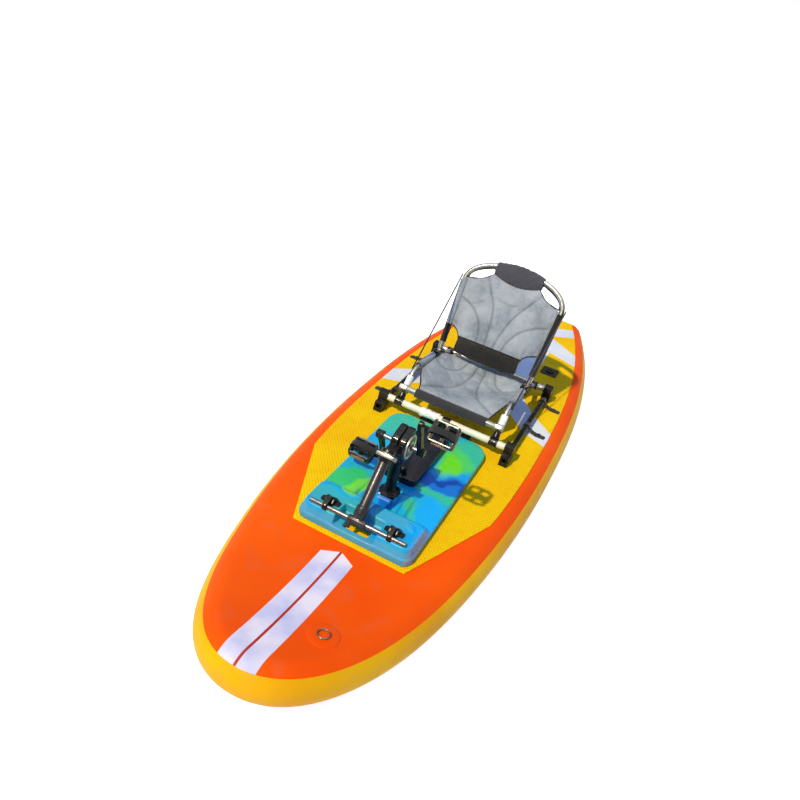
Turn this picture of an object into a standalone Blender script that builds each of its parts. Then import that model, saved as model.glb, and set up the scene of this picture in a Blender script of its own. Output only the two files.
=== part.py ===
"""Inflatable pedal paddle board: an air-filled hull with a well, a moulded drive plate that holds
a pedal drive with a fold-up propeller leg, and a sling seat on a tube frame.
Metres, +Z up, bow towards -Y, origin under the middle of the hull on the ground. Left is -X and
right is +X, as seen from in front of the bow."""

import math

import bmesh
import bpy
from mathutils import Matrix, Vector

# Driving dimensions of the hull
HULL_LENGTH = 2.80
HULL_WIDTH = 0.86
HULL_HEIGHT = 0.15
BAND_THICKNESS = 0.0012
SKIN = 0.008
ROCKER_START = -0.80
ROCKER_RATE = 0.25
TAIL_NARROWING = 0.556
TAIL_POWER = 2.61
PAD_THICKNESS = 0.005

# Driving dimensions of the well and of the drive plate
WELL_HALF = 0.135
WELL_FRONT = -0.585
WELL_REAR = -0.135
PLATE_FRONT = -0.80
PLATE_REAR = -0.085
PLATE_HALF = 0.196
TRAY_TOP = 0.180
BLOCK_TOP = 0.212
ROD_Y = -0.7746

# Driving dimensions of the drive
CRANK_Y = -0.54
CRANK_Z = 0.378
CRANK_LENGTH = 0.150
CRANK_ANGLE = math.radians(24)
CRANK_X = 0.068
PEDAL_X = 0.143
CASE_RADIUS = 0.050
CASE_LEFT = -0.022
CASE_RIGHT = 0.030
CRANK_TEETH = 32
PINION_TEETH = 8
LEG_GEAR_TEETH = 16
PROP_TEETH = 8
CRANK_GEAR_RADIUS = 0.034
LEG_GEAR_RADIUS = 0.012
HINGE_Z = 0.105
LEG_LENGTH = 0.270
PROP_RADIUS = 0.115
PROP_OFFSET = 0.056

# Driving dimensions of the seat
RAIL_X = 0.262
RAIL_Z = 0.180
RAIL_RADIUS = 0.011
RAIL_FRONT = -0.120
RAIL_REAR = 0.510
BAR_Z = 0.2075
BAR_RADIUS = 0.0135
FRONT_BAR_Y = -0.073
REAR_BAR_Y = 0.455
SIDE_X = 0.197
TUBE_RADIUS = 0.010
LEG_TOP = (0.020, 0.315)
PIVOT = (0.280, 0.287)
BACK_LEAN = math.radians(28.5)
BACK_HEIGHT = 0.418
BACK_ARCH = 0.108
BACK_TOP_X = 0.211
BACK_TUBE_RADIUS = 0.011

# What touching pieces keep between them, and how much wider a bore is than its tube
GAP = 0.0003
FIT = 0.0004

RAIL_BEND = HULL_HEIGHT / 2
CORE_HALF = HULL_WIDTH / 2 - RAIL_BEND - BAND_THICKNESS - GAP
CORE_END = HULL_LENGTH / 2 - RAIL_BEND - BAND_THICKNESS - GAP
DECK = HULL_HEIGHT
PAD_TOP = DECK + GAP + PAD_THICKNESS
ON_PAD = PAD_TOP + GAP

for old in list(bpy.data.objects):
    bpy.data.objects.remove(old)


# Materials

def finish(name, colour, roughness, metallic=0.0):
    made = bpy.data.materials.new(name)
    made.use_nodes = True
    shader = made.node_tree.nodes["Principled BSDF"]
    shader.inputs["Base Color"].default_value = (*colour, 1.0)
    shader.inputs["Roughness"].default_value = roughness
    shader.inputs["Metallic"].default_value = metallic
    return made


ORANGE = finish("orange_hull_fabric", (0.95, 0.16, 0.01), 0.45)
YELLOW = finish("yellow_rail_fabric", (0.95, 0.55, 0.02), 0.45)
FOAM = finish("yellow_deck_foam", (0.93, 0.62, 0.03), 0.85)
BLUE = finish("blue_green_moulding", (0.03, 0.50, 0.62), 0.4)
BLACK = finish("black_plastic", (0.02, 0.02, 0.022), 0.4)
BLACK_ALLOY = finish("black_alloy", (0.02, 0.02, 0.022), 0.35, 0.5)
GUNMETAL = finish("dark_grey_tube", (0.12, 0.12, 0.13), 0.35, 0.6)
SILVER = finish("bright_alloy", (0.75, 0.76, 0.78), 0.25, 1.0)
STEEL = finish("plain_steel", (0.55, 0.55, 0.57), 0.3, 1.0)
CREAM = finish("cream_white_tube", (0.85, 0.84, 0.78), 0.4)
GREY = finish("grey_seat_fabric", (0.48, 0.52, 0.57), 0.8)
WEBBING = finish("black_webbing", (0.03, 0.03, 0.03), 0.8)


# Shapes added to a bmesh

def add_loop(mesh, points):
    return [mesh.verts.new(point) for point in points]


def bridge(mesh, first, second):
    count = len(first)
    for i in range(count):
        j = (i + 1) % count
        mesh.faces.new((first[i], first[j], second[j], second[i]))


def add_box(mesh, low, high):
    corners = [(low[0], low[1]), (high[0], low[1]), (high[0], high[1]), (low[0], high[1])]
    add_prism(mesh, corners, low[2], high[2])


def add_prism(mesh, outline, low, high, axis="Z"):
    """A solid of this outline from low to high; the outline lies in XY, or in YZ for axis X."""
    def at(point, height):
        return (height, point[0], point[1]) if axis == "X" else (point[0], point[1], height)
    bottom = add_loop(mesh, [at(point, low) for point in outline])
    top = add_loop(mesh, [at(point, high) for point in outline])
    bridge(mesh, bottom, top)
    mesh.faces.new(list(reversed(bottom)))
    mesh.faces.new(top)


def add_hollow_prism(mesh, outer, inner, low, high):
    """A wall between two outlines that have the same number of points."""
    loops = [add_loop(mesh, [(x, y, z) for x, y in outline])
             for outline, z in ((outer, low), (outer, high), (inner, high), (inner, low))]
    for i in range(4):
        bridge(mesh, loops[i], loops[(i + 1) % 4])


def frames_along(points):
    """A tangent and two normals at each point, carried along the path without twist."""
    points = [Vector(point) for point in points]
    tangents = []
    for i in range(len(points)):
        before = points[max(i - 1, 0)]
        after = points[min(i + 1, len(points) - 1)]
        tangents.append((after - before).normalized())
    helper = Vector((0, 0, 1)) if abs(tangents[0].z) < 0.9 else Vector((0, 1, 0))
    side = tangents[0].cross(helper).normalized()
    frames = []
    for point, tangent in zip(points, tangents):
        side = (side - tangent * side.dot(tangent)).normalized()
        frames.append((point, side, tangent.cross(side)))
    return frames


TUBE_SIDES = 10


def add_path(mesh, points, radius, sides=TUBE_SIDES, bore=0.0):
    """A round bar along these points, or a tube where a bore is given."""
    rings = {}
    for size in (radius, bore) if bore else (radius,):
        rings[size] = []
        for centre, side, up in frames_along(points):
            turn = [2 * math.pi * (i + 0.5) / sides for i in range(sides)]
            rings[size].append(add_loop(mesh, [centre + side * size * math.cos(a) + up * size * math.sin(a)
                                               for a in turn]))
    outer = rings[radius]
    for first, second in zip(outer, outer[1:]):
        bridge(mesh, first, second)
    if bore:
        inner = rings[bore]
        for first, second in zip(inner, inner[1:]):
            bridge(mesh, second, first)
        bridge(mesh, inner[0], outer[0])
        bridge(mesh, outer[-1], inner[-1])
    else:
        mesh.faces.new(list(reversed(outer[0])))
        mesh.faces.new(outer[-1])


def add_turned(mesh, profile, sides=24, axis="Z"):
    """A closed turned shape from (radius, height) points, listed once round; radius 0 is on the axis."""
    def at(radius, height, angle):
        flat = (radius * math.cos(angle), radius * math.sin(angle))
        if axis == "X":
            return (height, flat[0], flat[1])
        if axis == "Y":
            return (flat[0], height, flat[1])
        return (flat[0], flat[1], height)
    turns = [2 * math.pi * (i + 0.5) / sides for i in range(sides)]
    rings = []
    for radius, height in profile:
        if radius == 0:
            rings.append([mesh.verts.new(at(0, height, 0))])
        else:
            rings.append([mesh.verts.new(at(radius, height, angle)) for angle in turns])
    closed = profile[0][0] > 0 or profile[-1][0] > 0
    pairs = list(zip(rings, rings[1:])) + ([(rings[-1], rings[0])] if closed else [])
    for first, second in pairs:
        for i in range(sides):
            j = (i + 1) % sides
            corners = [first[i % len(first)], first[j % len(first)], second[j % len(second)],
                       second[i % len(second)]]
            unique = [v for k, v in enumerate(corners) if v not in corners[:k]]
            if len(unique) > 2:
                mesh.faces.new(unique)


def ring(outer, inner, low, high):
    return [(outer, low), (outer, high), (inner, high), (inner, low)]


def rod(radius, low, high):
    return [(0, low), (radius, low), (radius, high), (0, high)]


def rounded(low, high, radius, steps=3):
    """A rectangle in a plane with rounded corners, counterclockwise."""
    corners = [(high[0], low[1], -90), (high[0], high[1], 0), (low[0], high[1], 90), (low[0], low[1], 180)]
    points = []
    for x, y, start in corners:
        centre = (x - math.copysign(radius, x - (low[0] + high[0]) / 2),
                  y - math.copysign(radius, y - (low[1] + high[1]) / 2))
        for i in range(steps + 1):
            angle = math.radians(start + 90 * i / steps)
            points.append((centre[0] + radius * math.cos(angle), centre[1] + radius * math.sin(angle)))
    return points


# Objects

def empty(name, at, parent=None, turn=(0, 0, 0)):
    made = bpy.data.objects.new(name, None)
    bpy.context.scene.collection.objects.link(made)
    made.location = at
    made.rotation_euler = turn
    made.parent = parent
    return made


def solid(name, mesh, material, parent=None, at=(0, 0, 0), turn=(0, 0, 0), sharp=35):
    """Turns a bmesh into an object, with its normals outwards and its round faces smooth."""
    bmesh.ops.remove_doubles(mesh, verts=mesh.verts, dist=1e-7)
    bmesh.ops.recalc_face_normals(mesh, faces=mesh.faces)
    data = bpy.data.meshes.new(name)
    mesh.to_mesh(data)
    mesh.free()
    data.shade_smooth()
    data.set_sharp_from_angle(angle=math.radians(sharp))
    data.materials.append(material)
    made = bpy.data.objects.new(name, data)
    bpy.context.scene.collection.objects.link(made)
    made.location = at
    made.rotation_euler = turn
    made.parent = parent
    return made


def combine(target, mesh, operation="DIFFERENCE", at=None, turn=None):
    """Cuts the shape in mesh from target, or joins it on; it stands in target's own place unless told."""
    name = f"{target.name}_{operation.lower()}_{len(target.modifiers)}"
    helper = solid(name, mesh, target.data.materials[0], target.parent,
                   target.location if at is None else at, target.rotation_euler if turn is None else turn)
    helper.hide_render = True
    helper.display_type = "WIRE"
    modifier = target.modifiers.new(name, "BOOLEAN")
    modifier.operation = operation
    modifier.object = helper
    return helper


def box_mesh(low, high):
    mesh = bmesh.new()
    add_box(mesh, low, high)
    return mesh


def path_mesh(points, radius, sides=TUBE_SIDES, bore=0.0):
    mesh = bmesh.new()
    add_path(mesh, points, radius, sides, bore)
    return mesh


def turned_mesh(profile, sides=24, axis="Z"):
    mesh = bmesh.new()
    add_turned(mesh, profile, sides, axis)
    return mesh


def prism_mesh(outline, low, high, axis="Z"):
    mesh = bmesh.new()
    add_prism(mesh, outline, low, high, axis)
    return mesh


def gather(target, source, at=(0, 0, 0)):
    """Adds the shapes of source to target, moved to this place."""
    source.transform(Matrix.Translation(at))
    scratch = bpy.data.meshes.new("scratch")
    source.to_mesh(scratch)
    source.free()
    target.from_mesh(scratch)
    bpy.data.meshes.remove(scratch)


SIDES = ((-1, "left"), (1, "right"))

# Hull: the outline is a core curve, and a half-round rail of the hull's own height goes round it

BOW_ANGLES = (90, 81, 72, 63, 54, 45, 38.3, 27, 18, 9)
STERN_STEPS = 4
CORNER_STEPS = 2
BOW_POWER = 0.96


def rocker(y):
    return ROCKER_RATE * max(0.0, ROCKER_START - y) ** 2


def tail_half(y):
    return CORE_HALF * (1 - TAIL_NARROWING * (y / CORE_END) ** TAIL_POWER)


def core_side():
    """Points (x, y) and outward normals of the core's right side, from the nose to the tail."""
    side = []
    for degrees in BOW_ANGLES:
        angle = math.radians(degrees)
        across = math.cos(angle)
        x = CORE_HALF * across ** BOW_POWER if degrees < 90 else 0.0
        normal = Vector((CORE_END * across, -CORE_HALF * math.sin(angle))).normalized()
        side.append(((x, -CORE_END * math.sin(angle)), normal))
    for i in range(STERN_STEPS + 1):
        y = CORE_END * i / STERN_STEPS
        slope = (tail_half(y + 1e-4) - tail_half(y)) / 1e-4
        side.append(((tail_half(y), y), Vector((1, -slope)).normalized()))
    corner, last = side[-1]
    start = math.atan2(last.y, last.x)
    for i in range(1, CORNER_STEPS + 1):
        angle = start + (math.pi / 2 - start) * i / CORNER_STEPS
        side.append((corner, Vector((math.cos(angle), math.sin(angle)))))
    side.append(((0.0, CORE_END), Vector((0, 1))))
    return side


def core_ring():
    right = core_side()
    left = [((-x, y), Vector((-n.x, n.y))) for (x, y), n in reversed(right[1:-1])]
    return right + left


def hull_shape(bend, steps):
    """The hull's closed outer form, or the form of its air chamber for a smaller bend."""
    mesh = bmesh.new()
    middle = HULL_HEIGHT / 2
    loops = []
    for (x, y), normal in core_ring():
        loop = []
        for i in range(steps + 1):
            angle = math.pi * i / steps
            reach = bend * math.sin(angle)
            loop.append((x + normal.x * reach, y + normal.y * reach, middle + bend * math.cos(angle)))
        loops.append(add_loop(mesh, loop))
    count = len(loops)
    for i in range(count):
        first, second = loops[i], loops[(i + 1) % count]
        for k in range(steps):
            mesh.faces.new((first[k], first[k + 1], second[k + 1], second[k]))
    for end in (0, steps):
        half = count // 2
        for i in range(half):
            a, b = loops[i][end], loops[i + 1][end]
            c, d = loops[(count - i - 1) % count][end], loops[(count - i) % count][end]
            corners = [a, b, c, d]
            unique = [v for k, v in enumerate(corners) if v not in corners[:k]]
            if len(unique) > 2:
                mesh.faces.new(unique)
    bmesh.ops.remove_doubles(mesh, verts=mesh.verts, dist=1e-6)
    bmesh.ops.dissolve_degenerate(mesh, edges=mesh.edges, dist=1e-6)
    return lift(mesh)


def lift(mesh):
    for vertex in mesh.verts:
        vertex.co.z += rocker(vertex.co.y)
    return mesh


def well_outline(inset):
    return rounded((-WELL_HALF + inset, WELL_FRONT + inset), (WELL_HALF - inset, WELL_REAR - inset), 0.03)


RAIL_STEPS = 8
VALVE_AT = (0.21, 0.72)
VALVE_BORE = 0.0125

hull = solid("hull_shell", hull_shape(RAIL_BEND, RAIL_STEPS), ORANGE)
chamber = combine(hull, hull_shape(RAIL_BEND - SKIN, 4))
combine(chamber, prism_mesh(well_outline(-SKIN), -0.05, DECK + 0.05))
combine(hull, prism_mesh(well_outline(0), -0.05, DECK + 0.05))
combine(hull, turned_mesh(rod(VALVE_BORE, DECK - 0.03, DECK + 0.03), 12), at=(*VALVE_AT, 0))

# Bow patch: a round patch with a ring, glued on the nose as part of the hull

BOW_PATCH = (0.12, -1.16)
for profile, sides in ((rod(0.045, DECK - 0.006, DECK + 0.0035), 24),
                       (ring(0.019, 0.0155, DECK + 0.0020, DECK + 0.0085), 16)):
    piece = bmesh.new()
    gather(piece, turned_mesh(profile, sides), (*BOW_PATCH, 0))
    combine(hull, lift(piece), "UNION")

# Rail band: the second fabric layer that is glued round the rail, from the deck's shoulder to below

BAND_FIRST = 2
BAND_LAST = 7


def band_shape():
    mesh = bmesh.new()
    middle = HULL_HEIGHT / 2
    loops = []
    for (x, y), normal in core_ring():
        loop = []
        inner = range(BAND_FIRST, BAND_LAST + 1)
        for steps, extra in ((inner, GAP), (reversed(inner), GAP + BAND_THICKNESS)):
            for i in steps:
                angle = math.pi * i / RAIL_STEPS
                reach = (RAIL_BEND + extra) * math.sin(angle)
                height = middle + (RAIL_BEND + extra) * math.cos(angle)
                loop.append((x + normal.x * reach, y + normal.y * reach, height))
        loops.append(add_loop(mesh, loop))
    for i in range(len(loops)):
        bridge(mesh, loops[i], loops[(i + 1) % len(loops)])
    return lift(mesh)


solid("rail_band", band_shape(), YELLOW)

# Deck pad: foam sheet with the cut-out over the well

PAD_FRONT = (0.193, -0.815)
PAD_SHOULDER = (0.338, -0.45)
PAD_OVERHANG = 0.006


def pad_outline():
    right = [PAD_FRONT, PAD_SHOULDER]
    for (x, y), normal in core_side()[:-1]:
        if y > PAD_SHOULDER[1] + 0.05:
            right.append((x + normal.x * PAD_OVERHANG, y + normal.y * PAD_OVERHANG))
    return right + [(-x, y) for x, y in reversed(right)]


pad = solid("deck_pad", prism_mesh(pad_outline(), DECK + GAP, PAD_TOP), FOAM)
combine(pad, prism_mesh(well_outline(0), DECK - 0.02, DECK + 0.05))
combine(pad, turned_mesh(rod(VALVE_BORE, DECK - 0.03, DECK + 0.03), 12), at=(*VALVE_AT, 0))

# A seam cut round the foam panel between the two white pieces of the stern

PANEL_SIDE = ((0.060, 0.660), (0.064, 0.745), (0.096, 0.790), (0.122, 0.895), (0.108, 1.005), (0.113, 1.085))
PANEL_SHRINK = 0.985
SEAM_DEPTH = 0.002
panel = list(PANEL_SIDE) + [(-x, y) for x, y in reversed(PANEL_SIDE)]
panel_middle = (PANEL_SIDE[0][1] + PANEL_SIDE[-1][1]) / 2
inner_panel = [(x * PANEL_SHRINK, panel_middle + (y - panel_middle) * PANEL_SHRINK) for x, y in panel]
seam = bmesh.new()
add_hollow_prism(seam, panel, inner_panel, PAD_TOP - SEAM_DEPTH, PAD_TOP + 0.01)
combine(pad, seam)

# Well liner: the stiff moulded tunnel that lines the hole in the hull

LINER_WALL = 0.003
liner = bmesh.new()
add_hollow_prism(liner, well_outline(GAP), well_outline(GAP + LINER_WALL), 0.0015, PAD_TOP)
solid("well_liner", liner, BLACK)

# Inflation valve: square flange on the pad, barrel through the deck, quarter-turn cap

VALVE_FLANGE = 0.0375
FLANGE_TOP = ON_PAD + 0.0045
CAP_RADIUS = 0.019
valve_empty = empty("valve_axis", (*VALVE_AT, 0))
flange = rounded((-VALVE_FLANGE, -VALVE_FLANGE), (VALVE_FLANGE, VALVE_FLANGE), 0.006)
valve = solid("valve_body", prism_mesh(flange, ON_PAD, FLANGE_TOP), BLACK, valve_empty)
combine(valve, turned_mesh(rod(VALVE_BORE - 0.0006, DECK - 0.028, FLANGE_TOP - 0.001), 12), "UNION")
combine(valve, turned_mesh(rod(0.0085, DECK - 0.05, FLANGE_TOP + 0.01), 12))
cap_profile = [(0, DECK), (0.0075, DECK), (0.0075, FLANGE_TOP + GAP), (CAP_RADIUS, FLANGE_TOP + GAP),
               (CAP_RADIUS, FLANGE_TOP + 0.005), (CAP_RADIUS - 0.002, FLANGE_TOP + 0.0065),
               (0.008, FLANGE_TOP + 0.0065),
               (0.006, FLANGE_TOP + 0.0045), (0, FLANGE_TOP + 0.0045)]
valve_cap = solid("valve_cap", turned_mesh(cap_profile, 12), BLACK, valve_empty)
combine(valve_cap, box_mesh((-0.012, -0.002, FLANGE_TOP + 0.004), (0.012, 0.002, FLANGE_TOP + 0.008)),
        "UNION")

# Drive plate: moulded tray with a raised front block, ribs, an oval drain plug, open underneath

SLOT_HALF = 0.030
BLOCK_SLOPE = (-0.66, -0.62)
HANDLE_HALF = 0.070
FRONT_CORNER = 0.030
REAR_CORNER = 0.068
BLOCK_FRONT = PLATE_FRONT + 0.018
RIDGE_BASE = TRAY_TOP - 0.002
RIDGE_FRONT_RISE = 1.7
RIDGE_REAR_RISE = 0.55
RIDGES = ((-0.062, -0.053, 0.0125, -0.700, -0.526), (0.062, 0.053, 0.0125, -0.700, -0.526),
          (-0.092, -0.080, 0.0110, -0.668, -0.520), (0.092, 0.080, 0.0110, -0.668, -0.520))
SPOT_FACE = 0.0008


def plate_edge():
    right = []
    for centre, radius, angles in (((PLATE_HALF - FRONT_CORNER, PLATE_FRONT + FRONT_CORNER), FRONT_CORNER,
                                    (-90, -60, -30, 0)),
                                   ((PLATE_HALF - REAR_CORNER, PLATE_REAR - REAR_CORNER), REAR_CORNER,
                                    (0, 22.5, 45, 67.5, 90))):
        right += [(centre[0] + radius * math.cos(math.radians(a)),
                   centre[1] + radius * math.sin(math.radians(a))) for a in angles]
    return right + [(-x, y) for x, y in reversed(right)]


plate = solid("drive_plate", prism_mesh(plate_edge(), ON_PAD, TRAY_TOP), BLUE)
block = bmesh.new()
foot_loop = add_loop(block, [(x, y, TRAY_TOP - 0.004) for x, y in
                             rounded((-PLATE_HALF + 0.002, PLATE_FRONT + 0.002),
                                     (PLATE_HALF - 0.002, BLOCK_SLOPE[1]), 0.028)])
crown_loop = add_loop(block, [(x, y, BLOCK_TOP) for x, y in
                              rounded((-PLATE_HALF + 0.012, BLOCK_FRONT),
                                      (PLATE_HALF - 0.012, BLOCK_SLOPE[0]), 0.022)])
bridge(block, foot_loop, crown_loop)
block.faces.new(list(reversed(foot_loop)))
block.faces.new(crown_loop)
combine(plate, block, "UNION")
combine(plate, box_mesh((-HANDLE_HALF, PLATE_FRONT - 0.01, TRAY_TOP),
                        (HANDLE_HALF, -0.715, BLOCK_TOP + 0.01)))
combine(plate, prism_mesh(rounded((-0.045, -0.780), (0.045, -0.733), 0.010), ON_PAD - 0.01, BLOCK_TOP + 0.01))
raised = bmesh.new()
for x, rear_x, half, front, rear in RIDGES:
    outline = [(half * math.cos(math.radians(a)), half * math.sin(math.radians(a)))
               for a in range(0, 181, 30)]
    first = add_loop(raised, [(x + u, front, RIDGE_BASE + v * RIDGE_FRONT_RISE) for u, v in outline])
    second = add_loop(raised, [(rear_x + u, rear, RIDGE_BASE + v * RIDGE_REAR_RISE) for u, v in outline])
    bridge(raised, first, second)
    raised.faces.new(list(reversed(first)))
    raised.faces.new(second)
PLUG_AT = (0.142, -0.690)
drain = [(0.020 * math.cos(math.radians(a)), 0.009 * math.sin(math.radians(a))) for a in range(0, 360, 30)]
plug_turn = Matrix.Rotation(math.radians(-40), 2)
drain = [(plug_turn @ Vector(point) + Vector(PLUG_AT)).to_tuple() for point in drain]
add_prism(raised, drain, BLOCK_TOP - 0.003, BLOCK_TOP + 0.004)
add_prism(raised, rounded((0.094, -0.380), (0.148, -0.260), 0.010), TRAY_TOP - 0.002, TRAY_TOP + SPOT_FACE)
combine(plate, raised, "UNION")
combine(plate, prism_mesh(rounded((-0.033, -0.706), (0.033, -0.580), 0.014), TRAY_TOP - 0.008,
                          TRAY_TOP + 0.02))
hollow = rounded((-PLATE_HALF + 0.008, -0.705), (PLATE_HALF - 0.008, PLATE_REAR - 0.012), 0.06)
combine(plate, prism_mesh(hollow, ON_PAD - 0.01, TRAY_TOP - 0.0145))
combine(plate, box_mesh((-SLOT_HALF, -0.572, ON_PAD - 0.01), (SLOT_HALF, -0.508, TRAY_TOP + 0.02)))
combine(plate, prism_mesh(rounded((-0.045, -0.455), (0.045, -0.170), 0.012), ON_PAD - 0.01, TRAY_TOP + 0.02))

# Trunk cover: black lid over the access slot, with a knob and raised edge strips

COVER_HALF = 0.062
COVER_FRONT = -0.478
COVER_REAR = -0.150
COVER_TOP = 0.205
COVER_BASE = TRAY_TOP + GAP
cover = solid("trunk_cover", prism_mesh(rounded((-COVER_HALF, COVER_FRONT), (COVER_HALF, COVER_REAR), 0.022),
                                        COVER_BASE, COVER_TOP), BLACK)
combine(cover, box_mesh((-0.045, COVER_FRONT + 0.02, COVER_BASE - 0.01),
                        (0.045, COVER_REAR - 0.02, COVER_TOP - 0.010)))
combine(cover, box_mesh((-0.012, COVER_FRONT - 0.01, COVER_TOP - 0.004),
                        (0.012, COVER_FRONT + 0.18, COVER_TOP + 0.01)))
knob = [(0, COVER_TOP - 0.0075), (0.011, COVER_TOP - 0.0075), (0.013, COVER_TOP + 0.008),
        (0.013, COVER_TOP + 0.016),
        (0.009, COVER_TOP + 0.021), (0, COVER_TOP + 0.021)]
topping = bmesh.new()
gather(topping, turned_mesh(knob, 16), (0, -0.448, 0))
for sign, _ in SIDES:
    for x in (0.046, 0.055):
        low, high = sorted((sign * x, sign * (x + 0.004)))
        add_box(topping, (low, COVER_FRONT + 0.015, COVER_TOP - 0.002),
                (high, COVER_REAR - 0.03, COVER_TOP + 0.0022))
combine(cover, topping, "UNION")

# Cross rod: steel rod across the raised block that the pole's foot turns round

ROD_RADIUS = 0.007
ROD_HALF = 0.1645
ROD_Z = BLOCK_TOP + GAP + ROD_RADIUS
rod_profile = [(0, -ROD_HALF), (ROD_RADIUS - 0.001, -ROD_HALF), (ROD_RADIUS, -ROD_HALF + 0.001),
               (ROD_RADIUS, ROD_HALF - 0.001), (ROD_RADIUS - 0.001, ROD_HALF), (0, ROD_HALF)]
solid("cross_rod", turned_mesh(rod_profile, 16, "X"), STEEL, at=(0, ROD_Y, ROD_Z))

# Rod latches: a bolted base with a pin behind the rod, and a hooked lever that clips over it

LATCH_X = 0.111
LATCH_Y = -0.744
LATCH_Z = BLOCK_TOP + 0.0155
PIN_RADIUS = 0.0020
base_outline = [(-0.0155, 0.0), (0.022, 0.0), (0.022, 0.006), (0.008, 0.0205), (-0.006, 0.0205),
                (-0.0155, 0.012)]
lever_outline = [(-0.0425, -0.0145), (-0.0385, -0.0145), (-0.0385, 0.0005), (-0.0130, 0.0025),
                 (0.006, 0.0035),
                 (0.006, 0.0055), (-0.010, 0.0165), (-0.038, 0.0065), (-0.0425, 0.002)]
bolt_head = [(0, 0.0030), (0.0075, 0.0030), (0.0075, 0.0055), (0.0048, 0.0055), (0.0048, 0.0095), (0, 0.0095)]
for sign, side in SIDES:
    base = solid(f"latch_base_{side}", prism_mesh(base_outline, -0.0155, 0.0155, "X"), BLACK,
                 at=(sign * LATCH_X, LATCH_Y, BLOCK_TOP + GAP))
    combine(base, prism_mesh(rounded((-0.033, -0.006), (0.033, 0.016), 0.006), 0.0002, 0.0041), "UNION")
    combine(base, box_mesh((-0.0075, -0.03, 0.0065), (0.0075, 0.03, 0.03)))
    parts = bmesh.new()
    gather(parts, turned_mesh(rod(PIN_RADIUS, -0.0150, 0.0150), 10, "X"), (0, 0, LATCH_Z - BLOCK_TOP - GAP))
    for offset in (-0.0245, 0.0245):
        gather(parts, turned_mesh(bolt_head, 8), (offset, 0.005, 0))
    combine(base, parts, "UNION")
    pivot = empty(f"latch_axis_{side}", (sign * LATCH_X, LATCH_Y, LATCH_Z))
    lever = solid(f"latch_lever_{side}", prism_mesh(lever_outline, -0.0068, 0.0068, "X"), BLACK, pivot)
    combine(lever, turned_mesh(rod(0.0052, -0.0064, 0.0064), 16, "X"), "UNION")
    combine(lever, turned_mesh(rod(PIN_RADIUS + FIT, -0.02, 0.02), 12, "X"))

# Pole: foot sleeve on the rod, tube up to the gear case, head clamp with a cam lever

POLE_RADIUS = 0.0165
POLE_TOP = (-0.635, 0.402)
POLE_ANGLE = math.atan2(POLE_TOP[1] - ROD_Z, POLE_TOP[0] - ROD_Y)
POLE_LENGTH = math.hypot(POLE_TOP[1] - ROD_Z, POLE_TOP[0] - ROD_Y)
pole_axis = empty("pole_axis", (0, ROD_Y, ROD_Z), turn=(POLE_ANGLE - math.pi / 2, 0, 0))
pole_frame = Matrix.Translation((0, ROD_Y, ROD_Z)) @ Matrix.Rotation(POLE_ANGLE - math.pi / 2, 4, "X")
pole = solid("support_pole", turned_mesh(rod(0.0125, -0.030, 0.030), 16, "X"), GUNMETAL, pole_axis)
combine(pole, turned_mesh([(0, 0.0035), (0.0185, 0.0095), (0.0205, 0.022), (0.0205, 0.046),
                           (POLE_RADIUS, 0.050),
                           (POLE_RADIUS, POLE_LENGTH - 0.004), (0, POLE_LENGTH - 0.004)], 16), "UNION")
combine(pole, turned_mesh([(0, -0.028), (0.0060, -0.028), (0.0060, -0.016), (0.0085, -0.014),
                           (0.0085, -0.009), (0, -0.009)], 12),
        "UNION", at=(-0.020, 0, 0))
combine(pole, turned_mesh(rod(POLE_RADIUS - 0.0022, 0.020, POLE_LENGTH + 0.01), 16))
combine(pole, turned_mesh(rod(ROD_RADIUS + FIT, -0.06, 0.06), 16, "X"))

HEAD_LOW = POLE_LENGTH - 0.034
HEAD_HIGH = POLE_LENGTH + 0.006
CLAMP_MIDDLE = POLE_LENGTH - 0.016
CLAMP_FRONT = -0.0235
CASE_SEAT = CASE_RADIUS + GAP
head = solid("head_clamp", turned_mesh([(0, HEAD_LOW), (0.0225, HEAD_LOW), (0.0225, HEAD_HIGH - 0.003),
                                        (0.0195, HEAD_HIGH), (0, HEAD_HIGH)], 16), BLACK, pole_axis)
arm = box_mesh((-0.0165, -0.650, 0.372), (0.0165, CRANK_Y, 0.400))
arm.transform(pole_frame.inverted())
combine(head, arm, "UNION")
combine(head, box_mesh((-0.0268, CLAMP_FRONT, CLAMP_MIDDLE - 0.0100),
                       (0.0268, -0.010, CLAMP_MIDDLE + 0.0100)), "UNION")
ears = bmesh.new()
for low, high in ((-0.0095, -0.0060), (0.0060, 0.0095)):
    add_box(ears, (0.0200, CLAMP_FRONT + 0.0005, CLAMP_MIDDLE + low), (0.0380, -0.0145, CLAMP_MIDDLE + high))
combine(head, ears, "UNION")
case_cut = turned_mesh(rod(CASE_SEAT, -0.06, 0.06), 30, "X")
case_cut.transform(pole_frame.inverted() @ Matrix.Translation((0, CRANK_Y, CRANK_Z)))
combine(head, case_cut)
combine(head, turned_mesh(rod(POLE_RADIUS + FIT, HEAD_LOW - 0.012, POLE_LENGTH - 0.0037), 16))
CAM_AT = (0.0335, CLAMP_FRONT + 0.0047, CLAMP_MIDDLE)
combine(head, turned_mesh(rod(PIN_RADIUS, -0.0090, 0.0090), 10), "UNION", at=CAM_AT)
cam_axis = empty("cam_axis", CAM_AT, pole_axis)
cam_outline = [(0.0050 * math.cos(math.radians(a)), 0.0050 * math.sin(math.radians(a)))
               for a in range(-90, 181, 30)]
cam_outline += [(-0.0056, -0.0054), (-0.030, -0.0062), (-0.060, -0.0058), (-0.061, -0.0088),
                (-0.030, -0.0100), (-0.008, -0.0095),
                (-0.002, -0.0075)]
cam_lever = solid("cam_lever", prism_mesh(cam_outline, -0.0055, 0.0055), SILVER, cam_axis)
combine(cam_lever, turned_mesh(rod(PIN_RADIUS + FIT, -0.02, 0.02), 12))

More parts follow.
